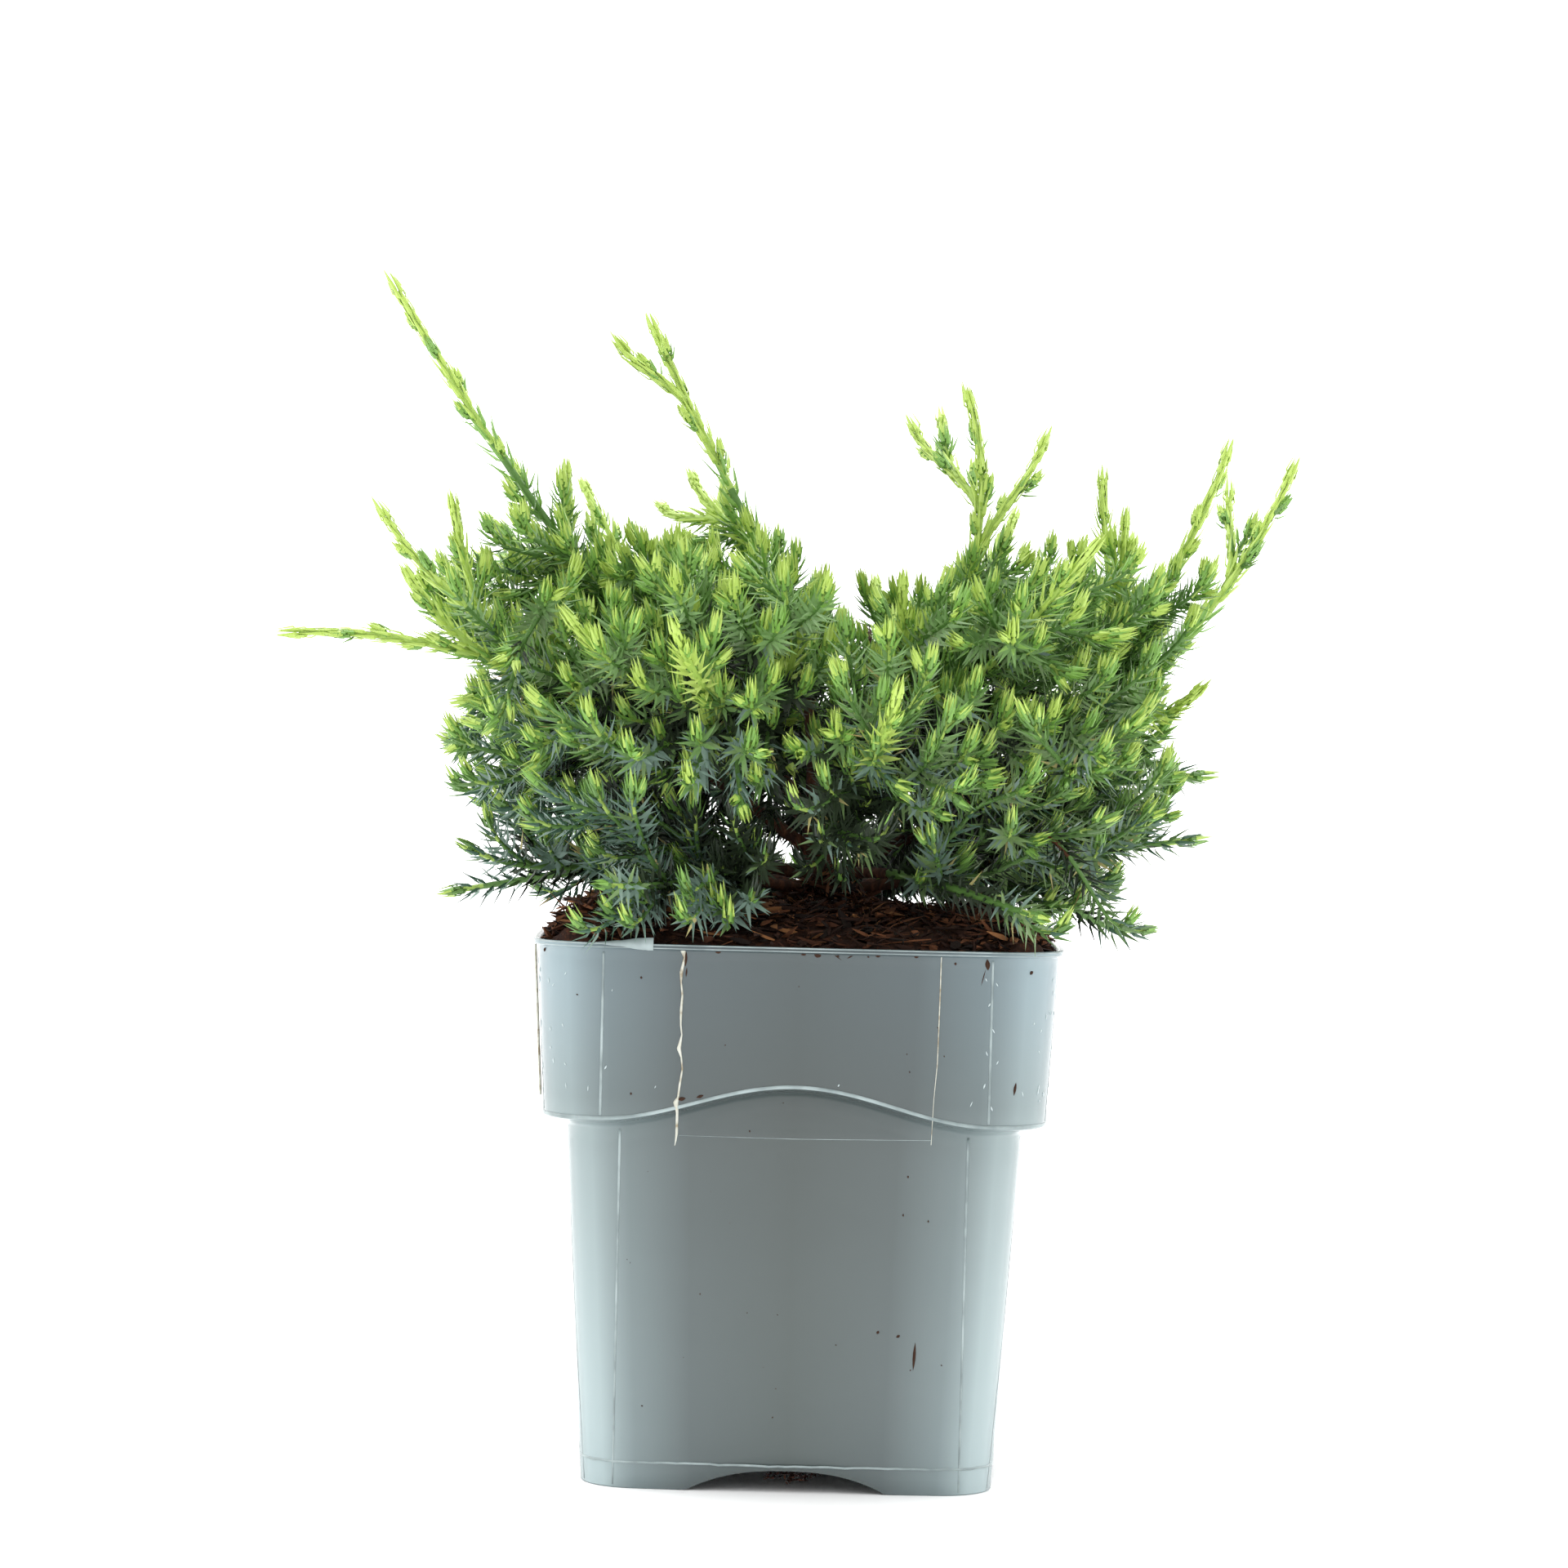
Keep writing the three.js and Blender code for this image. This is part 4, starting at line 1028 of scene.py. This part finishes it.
def frames(curve, shares):
    """Places on a curve, its tangents, and two ways square to each, turned as little as possible."""
    tangents = curve.tangents(shares)
    normals = [square_to(tangents[0])]
    for tangent in tangents[1:]:
        normals.append(unit(normals[-1] - tangent * (normals[-1] @ tangent)))
    normals = np.array(normals)
    return curve.points(shares), tangents, normals, np.cross(tangents, normals)


def tube(curve, start, end, sides, steps, radii):
    """Rings round a stretch of a curve, from one radius to another, and their middles."""
    middles, _, normals, binormals = frames(curve, np.linspace(start, end, steps + 1))
    rings = []
    for step in range(steps + 1):
        angles = turns(sides)[:, None]
        way = np.cos(angles) * normals[step] + np.sin(angles) * binormals[step]
        rings.append(middles[step] + lerp(*radii, step / steps) * way)
    return rings, middles


trunk_curve = Bezier(TRUNK_FOOT, TRUNK_FOOT + (0, 0, 10), TRUNK_FORK + (2, -1, -9), TRUNK_FORK)


def barked(rings, depth, seed):
    """Rings pushed in and out by the long flakes of the bark."""
    cloud = np.concatenate(rings)
    heights = relief(cloud * (1, 1, 0.3), 1.7, seed) + 0.6 * relief(cloud * (1, 1, 0.55), 0.8, seed + 1)
    made = []
    for ring, height in zip(rings, heights.reshape(len(rings), -1)):
        made.append(ring + unit(ring - ring.mean(axis=0)) * (depth * height)[:, None])
    return made


def make_trunk(material):
    angles = turns(TRUNK_SIDES)
    rings = []
    for share in np.linspace(0, 1, TRUNK_STEPS + 1):
        middle = trunk_curve.points(share)
        flare = max(0, 1 - (middle[2] - TRUNK_FOOT[2]) / FLARE_HEIGHT) ** 2
        lobe = 0.75 + 0.25 * np.cos(FLARE_LOBES * angles)
        radius = lerp(TRUNK_RADIUS, TRUNK_FORK_RADIUS, share) + FLARE * flare * lobe
        out = np.column_stack([np.cos(angles), np.sin(angles), 0 * angles])
        rings.append(middle + radius[:, None] * out)
    top = TRUNK_FORK + (0, 0, TRUNK_CROWNING)
    body = ringed_mesh(TRUNK_FOOT, barked(rings, TRUNK_BARK_DEPTH, 11), top)
    place(mesh_piece("trunk_bark", body, [material]), "bark", "trunk")


class Limb:
    """A bough that runs on as the stem of its foliage."""

    def __init__(self, name, root, out, end, tip, bare, heart):
        self.name = name
        self.bare = bare
        start = trunk_curve.points(root)
        tip = np.array(tip, float)
        reach = np.linalg.norm(tip - start)
        bend = start + heading(*out) * LIMB_FIRST_HANDLE * reach
        lead = tip - heading(*end) * LIMB_LAST_HANDLE * reach
        self.curve = Bezier(start, bend, lead, tip)
        self.heart = self.curve.points(heart)


def make_bough(limb, number, material):
    rings, middles = tube(limb.curve, 0, limb.bare, BOUGH_SIDES, BOUGH_STEPS, BOUGH_RADII)
    body = ringed_mesh(middles[0], barked(rings, BOUGH_BARK_DEPTH, 20 + number), middles[-1])
    place(mesh_piece(f"bough_bark_{limb.name}", body, [material]), "bark", f"bough_{limb.name}")


# Growth rule


def seeded(seed):
    """Random numbers from 0 to 1, the same ones that the solids use."""
    mask = 0xFFFFFFFF
    state = seed & mask
    while True:
        state = (state + 0x6D2B79F5) & mask
        mixed = ((state ^ (state >> 15)) * (state | 1)) & mask
        mixed ^= (mixed + (((mixed ^ (mixed >> 7)) * (mixed | 61)) & mask)) & mask
        yield (mixed ^ (mixed >> 14)) / 4294967296


def crown_point(ball, depth):
    """Point in the crown's outer layer in the direction of a point on a ball."""
    size = (np.abs(ball) ** CROWN_FULLNESS).sum() ** (1 / CROWN_FULLNESS)
    halves = np.array([CROWN_HALF_X, CROWN_HALF_Y, CROWN_RISE if ball[2] > 0 else CROWN_DROP])
    point = CROWN_MIDDLE + halves * ball * (1 - depth) / size
    aside = math.hypot(point[0] - CROWN_DIP_PLACE[0], point[1] - CROWN_DIP_PLACE[1]) / CROWN_DIP_RADIUS
    if ball[2] > 0:
        point[2] -= CROWN_DIP * math.exp(-aside * aside) * ball[2]
    return point


def lowest_at(x, y):
    """Lowest height at which foliage may hang at a place: over the soil, or beside the pot."""
    out = max(abs(x), abs(y))
    if out > LIP_HALF + SOIL_CLEARANCE:
        return POT_HEIGHT - HANG_DEPTH
    if out > COLLAR_TOP_HALF - RIM_REACH:
        return POT_HEIGHT + SOIL_CLEARANCE
    return float(soil_height(x, y)) + SOIL_CLEARANCE


def crown_tips(taken, seed, tries, spacing, shell):
    """Tips thrown at random into the crown's outer layer and kept an even way apart."""
    random = seeded(seed)
    kept = np.zeros((len(taken) + tries, 3))
    kept[: len(taken)] = taken
    count = len(taken)
    for _ in range(tries):
        height = 2 * next(random) - 1
        bearing = 2 * math.pi * next(random)
        depth = shell * next(random)
        level = math.sqrt(1 - height * height)
        point = crown_point(np.array([level * math.cos(bearing), level * math.sin(bearing), height]), depth)
        low = point[2] < lowest_at(point[0], point[1]) + TIP_CLEARANCE
        if not low and (((kept[:count] - point) ** 2).sum(axis=1) > spacing**2).all():
            kept[count] = point
            count += 1
    return kept[len(taken) : count]


# What sets the kinds of twig apart, in millimetres and degrees: the least lean of their parent towards the
# tip, how much farther a place counts for turning, the nearest place looked at, the least and greatest
# length, how far they turn up, their radii at root and tip, the steps between whorls at the tip and on old
# wood, the needles' length, how wide needles stand at the tip and on old wood, and the ages between which
# they spread out
KINDS = {
    "stem": dict(radii=(1.7, 0.9), steps=(1.6, 4), needle=12, spread=(3, 50), opens=(6, 120)),
    "leader": dict(
        lean=0.5, turn=5, nearest=28, shortest=11, longest=math.inf, rise=0.45,
        radii=(1.5, 0.9), steps=(1.6, 4), needle=12, spread=(3, 50), opens=(6, 110),
    ),
    "shoot": dict(
        lean=0.5, turn=0, nearest=0, shortest=11, longest=62, rise=0.45,
        radii=(1, 0.6), steps=(0.8, 1.6), needle=9.8, spread=(8, 52), opens=(1, 18),
    ),
    "sprig": dict(
        lean=0.2, turn=1.2, nearest=26, shortest=15, longest=75, rise=2.2,
        radii=(0.9, 0.6), steps=(0.8, 1.6), needle=9.4, spread=(9, 56), opens=(1, 12),
    ),
    "bud": dict(radii=(0.7, 0.5), steps=(0.8, 1.9), needle=7.6, spread=(6, 50), opens=(2.4, 9)),
}

# Stems and leaders that end low carry open brushes to their tips, and the middling ones open sooner than
# the tall ones, whose needles lie along the twig; the heights and the reach in x that part them
LOW_LEADER = dict(steps=(0.8, 2.3), needle=9.4, spread=(4, 56), opens=(2, 11))
PLUME_LEADER = dict(steps=(1, 2.3), needle=10, spread=(4, 50), opens=(5, 34))
LOW_TOP = LOW + 20
PLUME_TOP = 327
PLUME_REACH = 130


class Twig:
    """A stretch of a curve with the look of one kind of twig."""

    def __init__(self, kind, curve, start=0.0, end=1.0):
        self.kind = kind
        self.look = KINDS[kind]
        self.tall = kind in ("stem", "leader")
        self.top = curve.points(end)
        self.appressed = self.tall and self.top[2] >= LOW_TOP
        if self.tall and not self.appressed:
            self.look = {**self.look, **LOW_LEADER}
        elif self.tall and self.top[2] < PLUME_TOP and abs(self.top[0]) < PLUME_REACH:
            self.look = {**self.look, **PLUME_LEADER}
        self.curve = curve
        self.start = start
        self.end = end
        self.length = curve.length * (end - start)

    def shares(self, distances):
        """Shares of the curve at distances from the twig's root."""
        return self.start + np.asarray(distances) / self.curve.length


def clear_end(curve, start):
    """Share of a curve at which it would run into the soil or the rim, or its end."""
    shares = np.linspace(start, 1, 30)
    for share, point in zip(shares[1:], curve.points(shares[1:])):
        if point[2] < lowest_at(point[0], point[1]):
            return share - 1.5 * (1 - start) / 29
    return 1.0


class Growth:
    """The twigs of one limb, and the places on them from which more may spring."""

    def __init__(self, limb):
        self.twigs = []
        self.places = np.zeros((0, 3))
        self.tangents = np.zeros((0, 3))
        self.add(Twig("stem", limb.curve, limb.bare + GAP / limb.curve.length))

    def add(self, twig):
        self.twigs.append(twig)
        count = math.ceil(twig.length / ROOT_STEP)
        if count > 1:
            shares = np.linspace(twig.start, twig.end, count + 1)[1:-1]
            self.places = np.concatenate([self.places, twig.curve.points(shares)])
            self.tangents = np.concatenate([self.tangents, twig.curve.tangents(shares)])

    def reach(self, tip, kind):
        """Adds a twig to a tip from the place that costs least, turning up at its end."""
        look = KINDS[kind]
        ways = tip - self.places
        distances = np.linalg.norm(ways, axis=1)
        leans = (ways * self.tangents).sum(axis=1) / distances
        costs = distances * (1 + look["turn"] * (1 - leans))
        costs[(leans <= look["lean"]) | (distances <= look["nearest"])] = np.inf
        best = int(np.argmin(costs))
        distance = distances[best]
        if costs[best] == np.inf or not look["shortest"] <= distance <= look["longest"]:
            return
        way = ways[best] / distance
        root = self.places[best]
        handle = SHOOT_HANDLE * distance
        bend = root + unit(self.tangents[best] * SHOOT_BRANCH_LEAN + way) * handle
        curve = Bezier(root, bend, tip - unit(way + UP * look["rise"]) * handle, tip)
        end = clear_end(curve, 0)
        if end * curve.length > look["shortest"] * 0.7:
            self.add(Twig(kind, curve, 0, end))


def side_twig(parent, distance, turn, length, kind, lean):
    """A short twig that leaves its parent at a distance from the root, turned round it by an angle."""
    share = parent.shares(distance)
    root = parent.curve.points(share)
    along = parent.curve.tangents(share)
    side = square_to(along)
    out = side * math.cos(turn) + np.cross(along, side) * math.sin(turn)
    angle = math.radians(lean)
    first = along * math.cos(angle) + out * math.sin(angle)
    last = unit(first + 0.5 * along + (1.2 if kind == "sprig" else 0.3) * UP)
    tip = root + length * unit(first + 0.4 * last)
    curve = Bezier(root, root + first * length / 3, tip - last * length / 3, tip)
    return Twig(kind, curve, 0, clear_end(curve, 0))


def leader_sides(twig, turn, random):
    """Small buds on the bare upper stretch of a stem or leader, and longer sprigs below it."""
    made = []
    distance = twig.length - random.uniform(*FIRST_SIDE)
    bare = min(BARE_LENGTH, BARE_SHARE * twig.length)
    least, most = SPRIG_SIZES
    while distance > 6:
        age = twig.length - distance
        if age < bare:
            size = random.uniform(*BUD_SIZES)
            if twig.appressed:
                made.append(side_twig(twig, distance, turn, size, "bud", BUD_LEAN))
            distance -= random.uniform(*BUD_GAPS)
        else:
            size = min(least + SPRIG_GROWTH * (age - bare), most) * random.uniform(*SPRIG_VARIES)
            made.append(side_twig(twig, distance, turn, size, "sprig", SPRIG_LEAN))
            distance -= random.uniform(*SPRIG_GAPS)
        turn += GOLDEN_TURN
    return made


def shoot_sides(twig, turn, random):
    """A few small buds near the tip of a shoot or sprig, fewer low down."""
    made = []
    shoot = twig.kind == "shoot"
    buds = random.integers(0, 3) + shoot - 2 * (twig.top[2] < LOW) - (random.uniform() < 0.3)
    distance = twig.length - random.uniform(*TIP_BUD_FIRST)
    for _ in range(buds):
        if distance < 5:
            break
        size = random.uniform(*TIP_BUD_SIZES) + TIP_BUD_GROWTH * (twig.length - distance)
        made.append(side_twig(twig, distance, turn, size, "bud", random.uniform(*TIP_BUD_LEANS)))
        turn += GOLDEN_TURN
        distance -= random.uniform(*TIP_BUD_GAPS)
    return made


def side_twigs(twigs, random):
    """The side twigs of all twigs that are long enough."""
    made = []
    for twig in twigs:
        turn = random.uniform(0, 2 * math.pi)
        if twig.tall:
            made.extend(leader_sides(twig, turn, random))
        elif twig.length > SHORTEST_PARENT:
            made.extend(shoot_sides(twig, turn, random))
    return made


def crowded_tips(random):
    """Tips in the places where the finer twigs crowd."""
    tips = [np.array(LOW_TIPS, float)]
    for middle, halves, count in CROWDS:
        ways = unit(random.normal(size=(count, 3)))
        reach = random.uniform(size=(count, 1)) ** (1 / 3)
        tips.append(np.array(middle) + ways * reach * halves)
    tips = np.concatenate(tips)
    return tips[[tip[2] > lowest_at(tip[0], tip[1]) + 1 for tip in tips]]


def under_valley(tips):
    """The tips that leave the valley in the crown open."""
    aside = (tips[:, 0] - VALLEY_PLACE) / VALLEY_HALF
    return tips[tips[:, 2] < VALLEY_BRIM - VALLEY_DEPTH * np.exp(-aside * aside)]


def grow(limbs):
    """All the twigs of every limb."""
    hearts = np.array([limb.heart for limb in limbs])
    random = np.random.default_rng(GROWTH_SEED)
    short = crown_tips(LEADER_TIPS, SHOOT_SEED, SHOOT_TRIES, SHOOT_SPACING, CROWN_SHELL)
    taken = np.concatenate([LEADER_TIPS, short])
    fine = crown_tips(taken, SPRIG_SEED, SPRIG_TRIES, SPRIG_SPACING, SPRIG_SHELL)
    fine = under_valley(np.concatenate([fine, crowded_tips(random)]))
    grown = []
    for number, limb in enumerate(limbs):
        growth = Growth(limb)
        start = limb.curve.points(growth.twigs[0].start)
        for tips, kind in ((LEADER_TIPS, "leader"), (short, "shoot"), (fine, "sprig")):
            owners = ((tips[:, None] - hearts) ** 2).sum(axis=2).argmin(axis=1)
            own = tips[owners == number]
            if kind != "leader":
                own = own[np.argsort(((own - start) ** 2).sum(axis=1))]
            for tip in own:
                growth.reach(tip, kind)
        grown.append(growth.twigs + side_twigs(growth.twigs, random))
    return grown


# Twigs and needles


def make_twigs(limb, twigs, materials):
    """All the twigs of a limb as one piece: brown on old wood, and lime or green on young shoots."""
    bodies = []
    painted = []
    for twig in twigs:
        steps = max(2, math.ceil(twig.length / TWIG_STEP))
        sides = 6 if twig.tall else 5
        rings, middles = tube(twig.curve, twig.start, twig.end, sides, steps, twig.look["radii"])
        points, blocks = ringed_mesh(middles[0], rings, middles[-1])
        bodies.append((points, blocks))
        age = np.linspace(twig.length, 0, len(blocks[0]))
        young = 1 + (age > (GREEN_LEADER_AGE if twig.appressed else GREEN_AGE))
        painted.append(np.where(age > (BROWN_LEADER_AGE if twig.tall else BROWN_AGE), 0, young))
        painted.extend(np.ones(len(fan)) for fan in blocks[1:])
    piece = mesh_piece(f"twigs_{limb.name}", joined(bodies), materials, painted)
    place(piece, "bark", f"foliage_{limb.name}")


def whorl_distances(twig):
    """Distances of the whorls from the twig's root, close together at its tip."""
    close, wide = twig.look["steps"]
    distance = twig.length - 0.6
    places = []
    while distance > 1.2:
        places.append(distance)
        distance -= lerp(close, wide, smoothstep(twig.length - distance, 1, 7))
    return np.array(places)


def needles_on(twig, distances, random):
    """Roots, ways, sides, lengths, widths and ages of the needles of one twig, in whorls of three."""
    found = frames(twig.curve, twig.shares(distances))
    middles, tangents, normals, binormals = [part[:, None] for part in found]
    look = twig.look
    each = (len(distances), 3)
    age = (twig.length - distances)[:, None]
    angles = (np.arange(each[0]) * math.pi / 3)[:, None] + turns(3) + random.normal(0, NEEDLE_TURN, each)
    out = np.cos(angles)[..., None] * normals + np.sin(angles)[..., None] * binormals
    spread = lerp(*look["spread"], smoothstep(age, *look["opens"])) * random.uniform(*SPREAD_VARIES, each)
    spread = np.radians(np.maximum(spread, LEAST_SPREAD))[..., None]
    ways = np.cos(spread) * tangents + np.sin(spread) * out
    radius = lerp(*look["radii"], distances / twig.length)[:, None, None]
    roots = middles + ROOTED_AT * radius * out
    grown_up = smoothstep(age, 0, 10)
    lengths = look["needle"] * lerp(0.8, 1, grown_up) * random.uniform(*LENGTH_VARIES, each)
    widths = lerp(*NEEDLE_WIDTHS, grown_up) * random.uniform(*WIDTH_VARIES, each)
    ages = np.broadcast_to(age, each)
    sides = np.cross(tangents, out)
    return [item.reshape(-1, *item.shape[2:]) for item in (roots, ways, sides, lengths, widths, ages)]


def tints_of(twig, roots, ages, random):
    """Place in the tints of each needle, by its age and by how high and how far out its spray is, with
    painted shade deep in the crown.
    """
    vigour = float(np.clip((twig.top[2] - LOW) / (HIGH - LOW), 0, 1))
    inward = 1 - np.linalg.norm((roots - CROWN_MIDDLE) / INSIDE_HALVES, axis=1)
    shift = random.normal(0, 0.4) * lerp(1, 4, vigour)
    age = np.maximum(ages + shift + random.normal(0, 0.5, len(ages)), 0)
    tint = np.digitize(age, LEADER_AGES if twig.appressed else lerp(LOW_AGES, HIGH_AGES, vigour))
    chance = random.uniform(size=len(tint))
    blueness = np.clip(1.1 - 1.8 * vigour, 0.12, 0.95) * lerp(1, 0.35, smoothstep(twig.top[0], 10, 60))
    tint = np.where((tint == DEEP) & (chance < blueness), BLUE, tint)
    if twig.appressed:
        return tint
    # Painted shade: needles deep inside the crown, far down old wood, and in the hollow at the front take
    # the shade tint
    hollow = np.linalg.norm((roots - HOLLOW_MIDDLE) / HOLLOW_HALVES, axis=1)
    inside = (inward > 0.3) | ((inward > 0.2) & (chance < 0.5)) | (age > lerp(22, 34, vigour))
    shaded = ((tint >= 4 * vigour) & inside) | ((hollow < 1) & (chance < 0.85))
    return np.where(shaded, SHADE, tint)


def needle_mesh(roots, ways, sides, lengths, widths, ages):
    """Body of flat awls with a keel below, widest near the foot, their points bent towards the twig."""
    faces_up = np.cross(ways, sides)
    length = lengths[:, None]
    width = widths[:, None] / 2
    bend = lerp(*BENDS, smoothstep(ages, 1, 8))[:, None]
    middle = roots + ways * length * WIDEST_AT - faces_up * length * bend
    keel = middle - faces_up * width * KEEL
    rings = [roots, middle + sides * width, middle - sides * width, keel, roots + ways * length]
    upper = np.array([(0, 2, 1), (1, 2, 4)])
    lower = np.array([(0, 1, 3), (0, 3, 2), (1, 4, 3), (3, 4, 2)])
    blocks = [repeated(part, len(roots), len(rings)) for part in (upper, lower)]
    return np.stack(rings, axis=1).reshape(-1, 3), blocks


def make_needles(limb, twigs, materials, random):
    """All the needles of a limb as one piece, each with a tint for its foot and one for its point."""
    gathered = []
    for twig in twigs:
        distances = whorl_distances(twig)
        if len(distances) == 0:
            continue
        found = needles_on(twig, distances, random)
        roots, ways, _, lengths, _, ages = found
        tips = roots + ways * lengths[:, None]
        keep = tips[:, 2] > [lowest_at(x, y) - 1 for x, y in tips[:, :2]]
        tint = tints_of(twig, roots, ages, random)
        if random.uniform() < DEAD_BUDS:
            tint[ages < 5] = BROWN
        foot = tint + ((tint <= FRESH) & (not twig.appressed))
        gathered.append([item[keep] for item in (*found, tint, foot)])
    *shapes, tint, foot = [np.concatenate(items) for items in zip(*gathered)]
    point = np.where((tint >= DEEP) & (random.uniform(size=len(tint)) < STRAW_TIPS), STRAW, tint)
    upper = 2 * np.stack([foot, point], axis=1)
    lower = 2 * np.stack([foot, foot, point, point], axis=1) + 1
    painted = [upper.ravel(), lower.ravel()]
    piece = mesh_piece(f"needles_{limb.name}", needle_mesh(*shapes), materials, painted, smooth=False)
    place(piece, "needles", f"foliage_{limb.name}")


# Studio


def make_camera():
    camera = bpy.data.objects.new("camera", bpy.data.cameras.new("camera"))
    camera.data.lens = CAMERA_LENS
    camera.data.sensor_width = CAMERA_SENSOR
    camera.data.clip_start = 0.05
    camera.data.clip_end = 30
    place_at = Vector(CAMERA_PLACE) * MM
    look = Vector(CAMERA_AIM) * MM - place_at
    turn = look.to_track_quat("-Z", "Y").to_matrix()
    roll = Matrix.Rotation(math.radians(CAMERA_ROLL), 3, "Z")
    camera.matrix_world = Matrix.Translation(place_at) @ (turn @ roll).to_4x4()
    bpy.context.scene.collection.objects.link(camera)
    bpy.context.scene.camera = camera


def make_floor():
    """A wide pale floor."""
    corners = np.array([(-1, -1, 0), (1, -1, 0), (1, 1, 0), (-1, 1, 0)]) * FLOOR_REACH
    material = plain("studio_white", (252, 252, 252), 0.6, 0.2)
    grained(material, [(0.3, (251, 252, 252)), (0.7, (253, 253, 253))], 3, 4)
    floor = mesh_piece("floor", (corners, [np.array([(0, 1, 2, 3)])]), [material])


def make_world():
    """White all round, dimmer on the side behind the front camera, so that the front is in soft shade."""
    world = bpy.data.worlds.new("studio")
    world.use_nodes = True
    tree = world.node_tree
    tree.nodes["Background"].inputs["Color"].default_value = (1, 1, 1, 1)
    way = tree.nodes.new("ShaderNodeTexCoord")
    parts = tree.nodes.new("ShaderNodeSeparateXYZ")
    tree.links.new(way.outputs["Generated"], parts.inputs["Vector"])
    ends = {"From Min": -1, "From Max": 0.1, "To Min": WORLD_FRONT, "To Max": WORLD_BACK}
    spread = node(tree, "ShaderNodeMapRange", interpolation_type="SMOOTHSTEP", **ends)
    tree.links.new(parts.outputs["Y"], spread.inputs["Value"])
    tree.links.new(spread.outputs["Result"], tree.nodes["Background"].inputs["Strength"])
    bpy.context.scene.world = world


def make_sun():
    """Soft light from above and behind."""
    light = bpy.data.lights.new("sun", "SUN")
    light.energy = SUN_POWER
    light.angle = math.radians(SUN_SPREAD)
    sun = bpy.data.objects.new("sun", light)
    sun.matrix_world = Vector(SUN_FROM).to_track_quat("Z", "Y").to_matrix().to_4x4()
    bpy.context.scene.collection.objects.link(sun)


make_camera()
make_floor()
make_world()
make_sun()
bpy.context.scene.view_settings.view_transform = "Standard"

bark = bark_skin()
peat = peat_ground()
highlight_and_film = pot_highlight_and_film()
make_pot(pot_plastic())
make_pot_lines(highlight_and_film)
make_label_edges(label_film(), highlight_and_film)
make_pot_marks(plain("dried_drop", (184, 197, 199), 0.15), plain("crumb", (56, 36, 25), 0.9, 0.3))
make_peat_ground(peat)
make_peat_fibres()
make_arch_crumbs(peat)
make_trunk(bark)

needle_materials = []
for tint_name, (upper, lower) in TINTS.items():
    needle_materials.append(plain(f"needle_{tint_name}_upper", upper, 0.5, 0.4))
    needle_materials.append(plain(f"needle_{tint_name}_lower", lower, 0.42, 0.5))
twig_materials = [
    plain("twig_brown", (84, 52, 32), 0.8, 0.3),
    plain("twig_lime", (160, 188, 92), 0.5, 0.4),
    plain("twig_green", (86, 124, 58), 0.55, 0.4),
]

limbs = [Limb(name, *sizes) for name, sizes in LIMBS.items()]
for number, limb in enumerate(limbs):
    make_bough(limb, number, bark)
random = np.random.default_rng(GROWTH_SEED + 1)
for limb, twigs in zip(limbs, grow(limbs)):
    make_twigs(limb, twigs, twig_materials)
    make_needles(limb, twigs, needle_materials, random)
